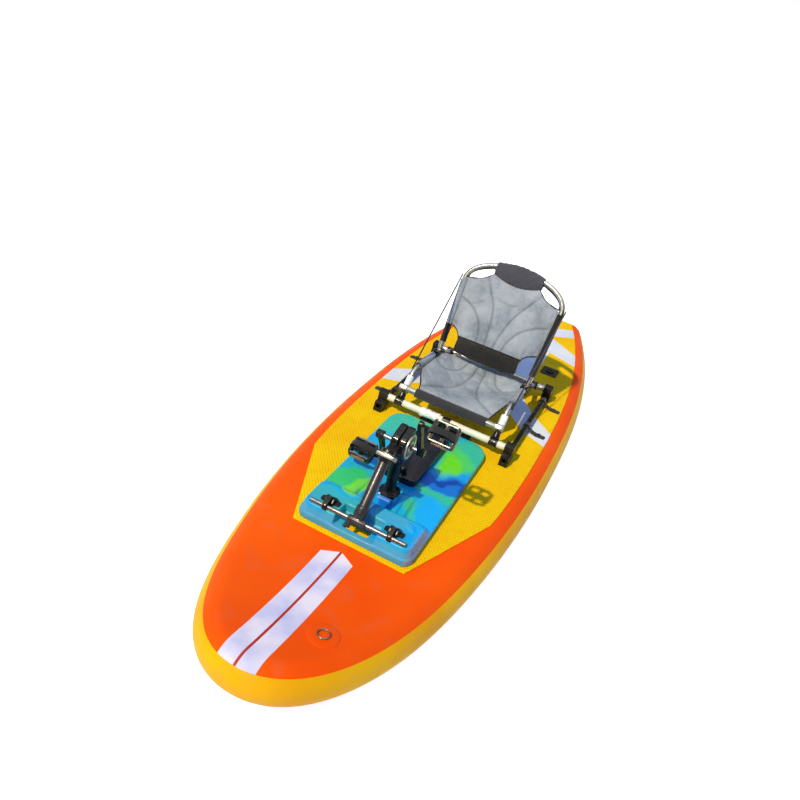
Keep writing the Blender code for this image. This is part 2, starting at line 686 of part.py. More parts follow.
# Gear case: two cup shells round the crank gear, with a bump at the top rear and a foot on the column

BUMP_AT = (0.021, 0.041)
BUMP_RADIUS = 0.0165
FOOT_HALF = 0.024
FOOT_DEPTH = 0.064
CASE_WALL = 0.0035
CASE_STEPS = 20
SPLIT = 0.004
SPINDLE_RADIUS = 0.0075
SHAFT_RADIUS = 0.0040


def case_outline(inset):
    """Outline of the gear case in YZ round the crank axis, drawn in by the wall for its inside."""
    reach = math.hypot(*BUMP_AT)
    lean = math.atan2(BUMP_AT[1], BUMP_AT[0])
    radius = CASE_RADIUS - inset
    start = -math.pi / 2 + math.asin((FOOT_HALF - inset) / radius)
    end = 1.5 * math.pi - math.asin((FOOT_HALF - inset) / radius)
    points = []
    for i in range(CASE_STEPS + 1):
        angle = start + (end - start) * i / CASE_STEPS
        across = reach * math.sin(angle - lean)
        bump = 0.0
        if abs(across) < BUMP_RADIUS - inset and math.cos(angle - lean) > 0:
            bump = reach * math.cos(angle - lean) + math.sqrt((BUMP_RADIUS - inset) ** 2 - across ** 2)
        points.append((max(radius, bump) * math.cos(angle), max(radius, bump) * math.sin(angle)))
    return points + [(-FOOT_HALF + inset, -FOOT_DEPTH + inset), (FOOT_HALF - inset, -FOOT_DEPTH + inset)]


crank_axis = empty("crank_axis", (0, CRANK_Y, CRANK_Z))
for side, low, high in (("left", CASE_LEFT, SPLIT), ("right", SPLIT + GAP, CASE_RIGHT)):
    shell = solid(f"gear_case_{side}", prism_mesh(case_outline(0), low, high, "X"), BLACK, crank_axis)
    inside = (low + CASE_WALL, high + 0.01) if side == "left" else (low - 0.01, high - CASE_WALL)
    combine(shell, prism_mesh(case_outline(CASE_WALL), *inside, "X"))
    combine(shell, turned_mesh(rod(SPINDLE_RADIUS + FIT, low - 0.01, high + 0.01), 20, "X"))
    combine(shell, turned_mesh(rod(SHAFT_RADIUS + FIT, -FOOT_DEPTH - 0.01, -FOOT_DEPTH + 0.01), 16))
COVER_DISC = 0.043
disc = [(COVER_DISC, CASE_RIGHT + GAP), (COVER_DISC, CASE_RIGHT + 0.0045),
        (COVER_DISC - 0.002, CASE_RIGHT + 0.0060),
        (COVER_DISC - 0.006, CASE_RIGHT + 0.0060), (COVER_DISC - 0.008, CASE_RIGHT + 0.0040),
        (0.022, CASE_RIGHT + 0.0034),
        (0.020, CASE_RIGHT + 0.0075), (0.0135, CASE_RIGHT + 0.0085), (0.0135, CASE_RIGHT + GAP)]
solid("side_cover", turned_mesh(disc, 20, "X"), SILVER, crank_axis)

# Bevel gears: teeth taper to the point where the two shafts cross, with wide clearance

ADDENDUM = 0.75
DEDENDUM = 1.10
ROOT_SHARE = 0.216
TIP_SHARE = 0.079


def bevel_gear(teeth, radius, mate_teeth, face, bore, back, phase=0.0, shaft_ends=()):
    """A bevel gear for a right-angle pair: apex at the origin, axis +Z, large end away from the apex.

    It has a bore, or in its place a shaft out to both shaft_ends, the one past the large end first.
    """
    cone = math.atan2(teeth, mate_teeth)
    module = 2 * radius / teeth
    height = radius / math.tan(cone)
    slope = (math.cos(cone), -math.sin(cone))
    tip = (radius + ADDENDUM * module * slope[0], height + ADDENDUM * module * slope[1])
    root = (radius - DEDENDUM * module * slope[0], height - DEDENDUM * module * slope[1])
    shrink = 1 - face / math.hypot(radius, height)
    pitch = 2 * math.pi / teeth
    mesh = bmesh.new()
    ends = []
    for scale in (1.0, shrink):
        loop = []
        for i in range(teeth):
            for (r, z), share in ((root, -ROOT_SHARE), (tip, -TIP_SHARE), (tip, TIP_SHARE),
                                  (root, ROOT_SHARE)):
                angle = pitch * i + phase + share * pitch
                loop.append((scale * r * math.cos(angle), scale * r * math.sin(angle), scale * z))
        ends.append(add_loop(mesh, loop))
    large, small = ends
    bridge(mesh, large, small)
    holes = []
    for z in (back, shrink * root[1]):
        holes.append(add_loop(mesh, [(bore * math.cos(pitch * i + phase - pitch / 2),
                                      bore * math.sin(pitch * i + phase - pitch / 2), z)
                                      for i in range(teeth)]))
    for hole, end in zip(holes, shaft_ends):
        cap = add_loop(mesh, [(vertex.co.x, vertex.co.y, end) for vertex in hole])
        bridge(mesh, hole, cap)
        mesh.faces.new(cap)
    if not shaft_ends:
        bridge(mesh, holes[1], holes[0])
    for loop, hole in ((large, holes[0]), (small, holes[1])):
        for i in range(teeth):
            fan = [loop[4 * i + k] for k in range(4)] + [loop[4 * ((i + 1) % teeth)]]
            for k in range(3):
                mesh.faces.new((hole[i], fan[k], fan[k + 1]))
            j = (i + 1) % teeth
            mesh.faces.new((hole[i], fan[3], hole[j]))
            mesh.faces.new((hole[j], fan[3], fan[4]))
    return mesh


def geared_shaft(name, shaft, gear, parent, turn=(0, 0, 0)):
    """A shaft with its gear cut on it, as one solid."""
    made = solid(name, shaft, STEEL, parent, turn=turn, sharp=20)
    combine(made, gear, "UNION")


# Crankset: spindle with the crank gear, two arms opposite each other with caps and pedal axles

SPINDLE_HALF = CRANK_X + 0.008
crank_height = CRANK_GEAR_RADIUS * PINION_TEETH / CRANK_TEETH
crank_set = empty("crank_set", (0, CRANK_Y, CRANK_Z))
spindle = bevel_gear(CRANK_TEETH, CRANK_GEAR_RADIUS, PINION_TEETH, 0.009, SPINDLE_RADIUS,
                     crank_height + 0.0065, shaft_ends=(SPINDLE_HALF, -SPINDLE_HALF))
solid("crank_spindle", spindle, STEEL, crank_set, turn=(0, math.pi / 2, 0), sharp=20)
AXLE_RADIUS = 0.0055
ARM_HALF = 0.0065
arm_outline = [(0.0155 * math.cos(math.radians(a)), 0.0155 * math.sin(math.radians(a)))
               for a in range(180, 361, 30)]
arm_outline += [(0.0085, 0.045), (0.0085, 0.115), (0.0125, 0.136)]
arm_outline += [(0.0130 * math.cos(math.radians(a)), CRANK_LENGTH + 0.0130 * math.sin(math.radians(a)))
                for a in range(0, 181, 30)]
arm_outline += [(-0.0125, 0.136), (-0.0085, 0.115), (-0.0085, 0.045)]
PEDAL_HALF = 0.0425
PEDAL_DEPTH = 0.035
PEDAL_THICK = 0.012
AXLE_END = PEDAL_X + PEDAL_HALF - 0.006
pedal_places = {}
for sign, side in SIDES:
    lean = CRANK_ANGLE if sign > 0 else CRANK_ANGLE + math.pi
    arm = solid(f"crank_arm_{side}", prism_mesh(arm_outline, sign * CRANK_X - ARM_HALF,
                                                sign * CRANK_X + ARM_HALF, "X"),
                BLACK_ALLOY, crank_set, turn=(lean, 0, 0))
    cap = [(0, sign * CRANK_X), (0.0135, sign * CRANK_X), (0.0150, sign * (SPINDLE_HALF + 0.004)),
           (0.0135, sign * (SPINDLE_HALF + 0.0085)), (0, sign * (SPINDLE_HALF + 0.0085))]
    additions = turned_mesh(cap, 20, "X")
    gather(additions, turned_mesh(rod(AXLE_RADIUS, *sorted((sign * (CRANK_X - 0.004), sign * AXLE_END))), 12,
                                  "X"),
           (0, 0, CRANK_LENGTH))
    combine(arm, additions, "UNION")
    seat = sorted((sign * (CRANK_X - 0.02), sign * (SPINDLE_HALF + GAP)))
    combine(arm, turned_mesh(rod(SPINDLE_RADIUS + FIT, *seat), 16, "X"))
    pedal_places[side] = Vector((sign * PEDAL_X, CRANK_Y - CRANK_LENGTH * math.sin(lean),
                                 CRANK_Z + CRANK_LENGTH * math.cos(lean)))

# Pedals: cage with reflectors that turns on the axle, and a strap over the foot

PEDAL_TILT = {"left": math.radians(20), "right": math.radians(40)}
STRAP_THICK = 0.0016
for sign, side in SIDES:
    pedal_axis = empty(f"pedal_axis_{side}", pedal_places[side], turn=(PEDAL_TILT[side], 0, 0))
    outer_end = sign * (AXLE_END - PEDAL_X)
    cage = solid(f"pedal_{side}", prism_mesh(rounded((-PEDAL_HALF, -PEDAL_DEPTH), (PEDAL_HALF, PEDAL_DEPTH),
                                                     0.008, 2),
                                             -PEDAL_THICK, PEDAL_THICK), BLACK, pedal_axis)
    lamps = bmesh.new()
    for low, high in ((-PEDAL_DEPTH - 0.003, -PEDAL_DEPTH + 0.002),
                      (PEDAL_DEPTH - 0.002, PEDAL_DEPTH + 0.003)):
        add_box(lamps, (-0.026, low, -0.008), (0.026, high, 0.008))
    combine(cage, lamps, "UNION")
    windows = bmesh.new()
    for x in (-0.0185, 0.0185):
        for y in (-0.0195, 0.0195):
            add_prism(windows, rounded((x - 0.0145, y - 0.0085), (x + 0.0145, y + 0.0085), 0.003, 1), -0.03,
                      0.03)
    combine(cage, windows)
    bore_low, bore_high = sorted((-sign * (PEDAL_HALF + 0.01), outer_end + sign * 0.0005))
    combine(cage, turned_mesh(rod(AXLE_RADIUS + FIT, bore_low, bore_high), 12, "X"))
    strap = bmesh.new()
    inner = [(PEDAL_HALF + 0.0006, 0.0072)]
    inner += [((PEDAL_HALF + 0.0006) * math.cos(a), PEDAL_THICK + 0.0006 + 0.0255 * math.sin(a))
              for a in (math.pi * i / 10 for i in range(11))]
    inner.append((-PEDAL_HALF - 0.0006, 0.0072))
    outer = []
    for i, point in enumerate(inner):
        before = Vector(inner[max(i - 1, 0)])
        after = Vector(inner[min(i + 1, len(inner) - 1)])
        along = (after - before).normalized()
        outer.append((Vector(point) + Vector((along.y, -along.x)) * STRAP_THICK).to_tuple())
    loops = [add_loop(strap, [(x, y, z) for x, z in line]) for line,
             y in ((inner, -0.014), (inner, 0.006), (outer, 0.006), (outer, -0.014))]
    for i in range(4):
        for k in range(len(inner) - 1):
            first, second = loops[i], loops[(i + 1) % 4]
            strap.faces.new((first[k], first[k + 1], second[k + 1], second[k]))
    strap.faces.new([loop[0] for loop in loops])
    strap.faces.new([loop[-1] for loop in reversed(loops)])
    solid(f"toe_strap_{side}", strap, WEBBING, pedal_axis)

# Drive column: hollow casting from the gear case through the plate, with a bolted flange and a hinge fork

COLUMN_RADIUS = 0.018
COLUMN_BORE = 0.0095
COLUMN_TOP = CRANK_Z - FOOT_DEPTH - GAP
FORK_TOP = 0.155
FLANGE_BASE = TRAY_TOP + GAP
EAR_INNER = 0.0200
EAR_OUTER = 0.0270
column_axis = empty("column_axis", (0, CRANK_Y, 0))
outside = [(0, FORK_TOP - 0.005), (COLUMN_RADIUS, FORK_TOP - 0.005), (COLUMN_RADIUS, FLANGE_BASE),
           (0.036, FLANGE_BASE),
           (0.036, FLANGE_BASE + 0.004), (COLUMN_RADIUS + 0.005, FLANGE_BASE + 0.008),
           (COLUMN_RADIUS, FLANGE_BASE + 0.022),
           (COLUMN_RADIUS, COLUMN_TOP - 0.010), (0.0225, COLUMN_TOP - 0.006), (0.0225, COLUMN_TOP),
           (0, COLUMN_TOP)]
column = solid("drive_column", turned_mesh(outside, 12), BLACK_ALLOY, column_axis)
combine(column, prism_mesh(rounded((-EAR_OUTER, -0.026), (EAR_OUTER, 0.026), 0.006), HINGE_Z - 0.016,
                           FORK_TOP), "UNION")
combine(column, box_mesh((-EAR_INNER, -0.04, HINGE_Z - 0.03), (EAR_INNER, 0.04, HINGE_Z + 0.034)))
bolts = bmesh.new()
for i in range(4):
    angle = math.radians(45 + 90 * i)
    place = (0.0305 * math.cos(angle), 0.0305 * math.sin(angle))
    add_path(bolts, [(*place, FLANGE_BASE + 0.003), (*place, FLANGE_BASE + 0.0115)], 0.0038, 6)
for sign, _ in SIDES:
    gather(bolts, turned_mesh(rod(SHAFT_RADIUS, *sorted((sign * 0.0115, sign * 0.0255))), 12, "X"),
           (0, 0, HINGE_Z))
combine(column, bolts, "UNION")
column_bore = [(0, HINGE_Z), (SHAFT_RADIUS + FIT, HINGE_Z), (SHAFT_RADIUS + FIT, 0.162), (COLUMN_BORE, 0.164),
               (COLUMN_BORE, COLUMN_TOP - 0.014), (SHAFT_RADIUS + FIT, COLUMN_TOP - 0.012),
               (SHAFT_RADIUS + FIT, COLUMN_TOP + 0.01),
               (0, COLUMN_TOP + 0.01)]
combine(column, turned_mesh(column_bore, 12))

# Upper shaft: pinion at its top in mesh with the crank gear, clutch end just above the hinge

SHAFT_START = 0.0245
CLUTCH_GAP = 0.007
shaft_axis = empty("upper_shaft_axis", (0, CRANK_Y, CRANK_Z), turn=(math.pi, 0, 0))
pinion = bevel_gear(PINION_TEETH, crank_height, CRANK_TEETH, 0.009, SHAFT_RADIUS - 0.001,
                    CRANK_GEAR_RADIUS + 0.004,
                    math.pi / PINION_TEETH)
geared_shaft("upper_shaft", turned_mesh(rod(SHAFT_RADIUS, SHAFT_START, CRANK_Z - HINGE_Z - CLUTCH_GAP), 12),
             pinion,
             shaft_axis)

# Propeller leg, folded up into the well: local +Y runs from the hinge to the gear pod

leg_axis = empty("leg_axis", (0, CRANK_Y, HINGE_Z))
LEG_HALF = 0.011
LEG_CHORD = 0.026
LEG_START = 0.020
POD_RADIUS = 0.019
POD_BORE = 0.0162
POD_END = 0.024
foil = [(LEG_HALF * math.sin(math.radians(a)), -LEG_CHORD * math.cos(math.radians(a)))
        for a in range(0, 360, 30)]
leg = bmesh.new()
sections = [add_loop(leg, [(x, y, z * share) for x, z in foil])
            for y, share in ((LEG_START, 0.55), (LEG_START + 0.03, 1.0), (LEG_LENGTH - 0.024, 1.0),
                             (LEG_LENGTH - 0.0195, 0.85),
                             (LEG_LENGTH - 0.010, 0.8))]
for first, second in zip(sections, sections[1:]):
    bridge(leg, first, second)
leg.faces.new(list(reversed(sections[0])))
leg.faces.new(sections[-1])
leg_shell = solid("leg_shell", leg, BLACK, leg_axis)
ears = bmesh.new()
for sign, _ in SIDES:
    low, high = sorted((sign * 0.0085, sign * (EAR_INNER - 0.0006)))
    ear_outline = [(0.0125 * math.cos(math.radians(a)), 0.0125 * math.sin(math.radians(a)))
                   for a in range(90, 271, 30)]
    ear_outline += [(0.034, -0.0115), (0.034, 0.0115)]
    add_prism(ears, ear_outline, low, high, "X")
combine(leg_shell, ears, "UNION")
pod_outside = [(0, -0.043), (0.006, -0.041), (0.0135, -0.032), (POD_RADIUS, -0.020), (POD_RADIUS, POD_END),
               (0, POD_END)]
pod_turn = Matrix.Translation((0, LEG_LENGTH, 0)) @ Matrix.Rotation(math.pi, 4, "X")
pod = turned_mesh(pod_outside, 16)
pod.transform(pod_turn)
combine(leg_shell, pod, "UNION")
pod_inside = turned_mesh(rod(POD_BORE, -0.020, POD_END + 0.01), 16)
pod_inside.transform(pod_turn)
combine(leg_shell, pod_inside)
combine(leg_shell, turned_mesh(rod(SHAFT_RADIUS + 0.0008, 0.0, LEG_LENGTH - 0.004), 12, "Y"))
combine(leg_shell, turned_mesh(rod(SHAFT_RADIUS + FIT, -0.04, 0.04), 12, "X"))

# Pod cap: screws into the open end of the gear pod and carries the propeller shaft

PROP_SHAFT_RADIUS = 0.0032
prop_axis = empty("prop_axis", (0, LEG_LENGTH, 0), leg_axis, turn=(math.pi, 0, 0))
cap_profile = [(PROP_SHAFT_RADIUS + FIT, 0.0170), (POD_BORE - GAP, 0.0170), (POD_BORE - GAP, POD_END + GAP),
               (POD_RADIUS, POD_END + GAP), (0.0175, 0.034), (0.0145, 0.041),
               (PROP_SHAFT_RADIUS + FIT, 0.041)]
solid("pod_cap", turned_mesh(cap_profile, 16), BLACK, prop_axis)

# Lower shaft with its bevel gear, and the propeller shaft with its pinion

LOWER_START = 0.008
leg_gear_height = LEG_GEAR_RADIUS * PROP_TEETH / LEG_GEAR_TEETH
lower_axis = empty("lower_shaft_axis", (0, LEG_LENGTH, 0), leg_axis, turn=(math.pi / 2, 0, 0))
leg_gear = bevel_gear(LEG_GEAR_TEETH, LEG_GEAR_RADIUS, PROP_TEETH, 0.0045, SHAFT_RADIUS - 0.001,
                      leg_gear_height + 0.0032)
geared_shaft("lower_shaft", turned_mesh(rod(SHAFT_RADIUS, leg_gear_height + 0.0022, LEG_LENGTH - LOWER_START),
                                        12), leg_gear,
             lower_axis)
prop_gear = bevel_gear(PROP_TEETH, leg_gear_height, LEG_GEAR_TEETH, 0.0045, PROP_SHAFT_RADIUS - 0.001,
                       LEG_GEAR_RADIUS + 0.003, math.pi / PROP_TEETH)
geared_shaft("prop_shaft", turned_mesh(rod(PROP_SHAFT_RADIUS, 0.0095, 0.070), 12), prop_gear, prop_axis)

# Propeller: hub with a rounded nose and two twisted blades

HUB_RADIUS = 0.0145
BLADE_STATIONS = 7
BLADE_CHORD = 0.040
hub = [(PROP_SHAFT_RADIUS + FIT, 0.0420), (HUB_RADIUS, 0.0420), (HUB_RADIUS + 0.001, 0.0560),
       (HUB_RADIUS, 0.0690),
       (0.0120, 0.0790), (0.0065, 0.0860), (0, 0.0880), (0, 0.0705), (PROP_SHAFT_RADIUS + FIT, 0.0705)]
propeller = solid("propeller", turned_mesh(hub, 14), BLACK, prop_axis)


def blade_mesh(sign):
    """One twisted blade along local X, thick in the middle of its chord, round at the tip."""
    mesh = bmesh.new()
    loops = []
    start = HUB_RADIUS - 0.005
    for i in range(BLADE_STATIONS):
        share = i / (BLADE_STATIONS - 1)
        radius = start + (PROP_RADIUS - start) * share
        chord = BLADE_CHORD * (0.55 + 1.0 * share - 0.25 * share ** 2) * math.sqrt(max(1 - share ** 4,
                                                                                       0.03)) * 0.8
        pitch = math.atan2(0.030, radius + 0.010)
        thick = 0.0035 * (1 - 0.70 * share)
        loop = []
        for u, v in ((-0.5, 0), (-0.2, 0.5), (0.15, 0.5), (0.5, 0), (0.15, -0.5), (-0.2, -0.5)):
            along, normal = u * chord, v * thick
            loop.append((sign * radius, sign * (along * math.cos(pitch) - normal * math.sin(pitch)),
                         PROP_OFFSET + along * math.sin(pitch) + normal * math.cos(pitch)))
        loops.append(add_loop(mesh, loop))
    for first, second in zip(loops, loops[1:]):
        bridge(mesh, first, second)
    mesh.faces.new(list(reversed(loops[0])))
    mesh.faces.new(loops[-1])
    return mesh


for sign in (-1, 1):
    combine(propeller, blade_mesh(sign), "UNION")

# Seat rails and their corner clamps: each clamp stands on the deck and holds a rail and a crossbar

CLAMP_HALF = 0.0175
FOOT_REACH = 0.020
for sign, side in SIDES:
    solid(f"seat_rail_{side}", turned_mesh(ring(RAIL_RADIUS, RAIL_RADIUS - 0.002, RAIL_FRONT, RAIL_REAR), 12,
                                           "Y"), BLACK_ALLOY,
          at=(sign * RAIL_X, 0, RAIL_Z))
    for end, y, foot_y in (("front", FRONT_BAR_Y, FRONT_BAR_Y - 0.028),
                           ("rear", REAR_BAR_Y, REAR_BAR_Y + 0.028)):
        x = sign * RAIL_X
        clamp = solid(f"corner_clamp_{end}_{side}",
                      box_mesh((x - CLAMP_HALF, y - 0.0185, RAIL_Z - 0.0165),
                               (x + CLAMP_HALF, y + 0.0185, BAR_Z + 0.0175)), GUNMETAL)
        foot = [(foot_y - FOOT_REACH, ON_PAD), (foot_y + FOOT_REACH, ON_PAD),
                (foot_y + FOOT_REACH, ON_PAD + 0.008),
                (foot_y + 0.014, RAIL_Z + 0.0140), (foot_y - 0.014, RAIL_Z + 0.0140),
                (foot_y - FOOT_REACH, ON_PAD + 0.008)]
        combine(clamp, prism_mesh(foot, x - CLAMP_HALF + 0.001, x + CLAMP_HALF - 0.001, "X"), "UNION")
        bores = path_mesh([(x, y - 0.06, RAIL_Z), (x, y + 0.06, RAIL_Z)], RAIL_RADIUS + FIT, 12)
        add_path(bores, [(sign * (RAIL_X - 0.03), y, BAR_Z), (sign * (RAIL_X + 0.010), y, BAR_Z)],
                 BAR_RADIUS + FIT, TUBE_SIDES)
        combine(clamp, bores)

# Seat tubes are laid out first, because the crossbars' sockets point along them

TUBE_WALL = 0.0018
CLAMP_WALL = 0.0042
BEND = 0.030
leg_direction = Vector((0, LEG_TOP[0] - FRONT_BAR_Y, LEG_TOP[1] - BAR_Z)).normalized()
leg_front = Vector((0, -leg_direction.z, leg_direction.y))
top = Vector((0, *LEG_TOP))
rear_end = Vector((0, PIVOT[0] - 0.0375, PIVOT[1] + 0.0040))
run = (rear_end - top).normalized()
rear_foot = Vector((0, REAR_BAR_Y, BAR_Z))
rear_leg = Vector((0, PIVOT[0] + 0.010, PIVOT[1] - 0.0125)) - rear_foot
rear_direction = rear_leg.normalized()


def along_leg(distance, forward=0.0):
    return Vector((0, FRONT_BAR_Y, BAR_Z)) + leg_direction * distance + leg_front * forward


def side_path():
    """Up the leg, round the bend in six points, and back along the seat."""
    before = top - leg_direction * BEND
    after = top + run * BEND
    points = [along_leg(BAR_RADIUS + 0.004)]
    for i in range(6):
        t = i / 5
        points.append(before * (1 - t) ** 2 + top * 2 * t * (1 - t) + after * t ** 2)
    points.append(rear_end)
    return points


def bar_mesh(half, y, z, radius):
    return path_mesh([(-half, y, z), (half, y, z)], radius)


# Crossbars: tubes with collars and sockets for the seat's legs; the front one has a crumpled wrap

COLLAR_RADIUS = BAR_RADIUS + CLAMP_WALL
for name, y, direction, material in (("front_crossbar", FRONT_BAR_Y, leg_direction, CREAM),
                                     ("rear_crossbar", REAR_BAR_Y, rear_direction, SILVER)):
    bar = solid(name, bar_mesh(RAIL_X + 0.009, y, BAR_Z, BAR_RADIUS), material)
    collars = bmesh.new()
    sockets = bmesh.new()
    socket_bores = bmesh.new()
    for sign, _ in SIDES:
        origin = Vector((sign * SIDE_X, y, BAR_Z))
        add_path(collars, [origin - Vector((0.016, 0, 0)), origin + Vector((0.016, 0, 0))], COLLAR_RADIUS,
                 TUBE_SIDES)
        add_path(sockets, [origin + direction * 0.006, origin + direction * 0.036], TUBE_RADIUS + CLAMP_WALL,
                 TUBE_SIDES)
        add_path(socket_bores, [origin + direction * (BAR_RADIUS + 0.002), origin + direction * 0.060],
                 TUBE_RADIUS + FIT, TUBE_SIDES)
    if name == "front_crossbar":
        wrap = path_mesh([(-0.104 + 0.078 * i / 4, y, BAR_Z) for i in range(5)], BAR_RADIUS + 0.0040)
        for vertex in wrap.verts:
            centre = Vector((vertex.co.x, y, BAR_Z))
            offset = vertex.co - centre
            vertex.co = centre + offset * (1 + 0.10 * math.sin(vertex.co.x * 330 + 4 * math.atan2(offset.z,
                                                                                                  offset.y)))
        gather(collars, wrap)
    combine(bar, collars, "UNION")
    combine(bar, sockets, "UNION")
    combine(bar, bar_mesh(RAIL_X + 0.03, y, BAR_Z, BAR_RADIUS - 0.002))
    combine(bar, socket_bores)

# Middle clamp: collar on the front crossbar, on a column with a crosswise foot

middle = solid("middle_clamp", path_mesh([(-0.012, FRONT_BAR_Y, BAR_Z), (0.020, FRONT_BAR_Y, BAR_Z)],
                                         COLLAR_RADIUS, TUBE_SIDES), BLACK)
combine(middle, box_mesh((-0.010, FRONT_BAR_Y - 0.0105, ON_PAD + 0.015),
                         (0.018, FRONT_BAR_Y + 0.014, BAR_Z - 0.004)), "UNION")
combine(middle, prism_mesh(rounded((-0.100, PLATE_REAR + 0.001), (0.109, PLATE_REAR + 0.033), 0.006), ON_PAD,
                           ON_PAD + 0.0222), "UNION")
combine(middle, bar_mesh(0.05, FRONT_BAR_Y, BAR_Z, BAR_RADIUS + FIT))

# Seat side tubes with their white grips and cloth hems, and the rear legs

HEM_CLOTH = 0.0025
SIDE_HEM_START = 0.040
SIDE_HEM_END = 0.184

for sign, side in SIDES:
    place = (sign * SIDE_X, 0, 0)
    tube = solid(f"seat_side_tube_{side}", path_mesh(side_path(), TUBE_RADIUS, TUBE_SIDES,
                                                     TUBE_RADIUS - TUBE_WALL),
                 SILVER, at=place)
    combine(tube, path_mesh([along_leg(0.069), along_leg(0.108)], TUBE_RADIUS + 0.0032, TUBE_SIDES,
                            TUBE_RADIUS - 0.0009), "UNION")
    hems = [top + run * SIDE_HEM_START, top + run * SIDE_HEM_END]
    combine(tube, path_mesh(hems, TUBE_RADIUS + HEM_CLOTH, TUBE_SIDES, TUBE_RADIUS - 0.0009), "UNION")
    solid(f"rear_leg_{side}", path_mesh([rear_foot + rear_direction * (BAR_RADIUS + 0.004),
                                         rear_foot + rear_direction * (rear_leg.length - 0.016)],
                                        TUBE_RADIUS, TUBE_SIDES, TUBE_RADIUS - TUBE_WALL), SILVER, at=place)

# Front tube of the seat, with clamps round the legs at both ends, and its cloth sleeve

FRONT_TUBE_RADIUS = 0.0115
CLAMP_ALONG = 0.053
SLEEVE_HALF = 0.145
SLEEVE_RADIUS = 0.0185
front_at = along_leg(CLAMP_ALONG, TUBE_RADIUS + FRONT_TUBE_RADIUS + 0.002)
front_tube = solid("front_tube", bar_mesh(SIDE_X + 0.018, front_at.y, front_at.z, FRONT_TUBE_RADIUS), SILVER)
leg_clamps = bmesh.new()
leg_bores = bmesh.new()
for sign, _ in SIDES:
    shift = Vector((sign * SIDE_X, 0, 0))
    corners = [along_leg(CLAMP_ALONG + along, forward) for along, forward in
               ((-0.0135, -0.0142), (0.0135, -0.0142), (0.0135, 0.024), (0.007, 0.0392), (-0.007, 0.0392),
                (-0.0135, 0.024))]
    add_prism(leg_clamps, [(corner.y, corner.z) for corner in corners], shift.x - 0.0142, shift.x + 0.0142,
              "X")
    add_path(leg_bores, [along_leg(CLAMP_ALONG - 0.04) + shift, along_leg(CLAMP_ALONG + 0.04) + shift],
             TUBE_RADIUS + FIT, TUBE_SIDES)
combine(front_tube, leg_clamps, "UNION")
combine(front_tube, bar_mesh(SIDE_X + 0.04, front_at.y, front_at.z, FRONT_TUBE_RADIUS - TUBE_WALL))
combine(front_tube, leg_bores)
solid("front_sleeve", path_mesh([(-SLEEVE_HALF, front_at.y, front_at.z),
                                 (SLEEVE_HALF, front_at.y, front_at.z)],
                                SLEEVE_RADIUS, TUBE_SIDES, FRONT_TUBE_RADIUS + FIT), WEBBING)

# Hinge brackets: cheeks at the rear ends of the side tubes, with a pin that the back frame turns on

HINGE_PIN = 0.0035
CHEEK_INNER = 0.0118
CHEEK_OUTER = 0.0148
bracket_outline = [(-0.066, -0.0105), (-0.036, -0.0130), (-0.010, -0.030), (0.034, -0.038), (0.040, -0.018),
                   (0.016, 0.004),
                   (0.008, 0.0125), (-0.008, 0.0125), (-0.026, 0.0085), (-0.0345, 0.0187), (-0.066, 0.0222)]
pivot_at = Vector((0, *PIVOT))
for sign, side in SIDES:
    bracket = solid(f"hinge_bracket_{side}", prism_mesh(bracket_outline, -CHEEK_OUTER, CHEEK_OUTER, "X"),
                    GUNMETAL,
                    at=(sign * SIDE_X, *PIVOT))
    combine(bracket, box_mesh((-CHEEK_INNER, -0.0355, -0.0125), (CHEEK_INNER, 0.06, 0.03)))
    combine(bracket, path_mesh([rear_end - pivot_at - run * 0.04, rear_end - pivot_at + run * 0.0006],
                               TUBE_RADIUS + FIT, TUBE_SIDES))
    leg_end = rear_foot + rear_direction * (rear_leg.length - 0.0156) - pivot_at
    combine(bracket, path_mesh([leg_end - rear_direction * 0.04, leg_end], TUBE_RADIUS + FIT, TUBE_SIDES))
    combine(bracket, turned_mesh(rod(HINGE_PIN, -CHEEK_OUTER - 0.002, CHEEK_OUTER + 0.002), 12, "X"), "UNION")

# Back frame: one bent tube with an eye at each end and cloth hems round its sides

HEM_LOW = 0.040
EYE_RADIUS = 0.0118
ARCH_POWER = 2.2
ARCH_STEPS = 10
side_top = BACK_HEIGHT - BACK_ARCH
back_axis = empty("back_axis", (0, *PIVOT), turn=(-BACK_LEAN, 0, 0))


def back_x(height):
    return SIDE_X + (BACK_TOP_X - SIDE_X) * min(height / side_top, 1)


def arch_height(x):
    """Height of the frame's top above its pivot, at this distance from the middle."""
    return side_top + BACK_ARCH * (1 - (abs(x) / BACK_TOP_X) ** ARCH_POWER) ** (1 / ARCH_POWER)


arch = []
for i in range(ARCH_STEPS + 1):
    angle = math.pi * i / ARCH_STEPS
    share = abs(math.cos(angle)) ** (2 / ARCH_POWER)
    x = -math.copysign(share * BACK_TOP_X, math.cos(angle))
    arch.append((x, 0, arch_height(x)))
frame_path = [(-back_x(0.004), 0, 0.004)] + arch + [(back_x(0.004), 0, 0.004)]
back_frame = solid("back_frame", path_mesh(frame_path, BACK_TUBE_RADIUS, TUBE_SIDES), SILVER, back_axis)
fittings = bmesh.new()
eye_bores = bmesh.new()
for sign, _ in SIDES:
    gather(fittings, turned_mesh(rod(EYE_RADIUS, -0.0113, 0.0113), 16, "X"), (sign * SIDE_X, 0, 0))
    add_path(fittings, [(sign * back_x(HEM_LOW), 0, HEM_LOW),
                        (sign * back_x(side_top - 0.002), 0, side_top - 0.002)],
             BACK_TUBE_RADIUS + HEM_CLOTH, TUBE_SIDES)
    gather(eye_bores, turned_mesh(rod(HINGE_PIN + FIT, -0.03, 0.03), 12, "X"), (sign * SIDE_X, 0, 0))
combine(back_frame, fittings, "UNION")
combine(back_frame, eye_bores)

# Padded sleeve over the top of the back frame, deeper in its middle

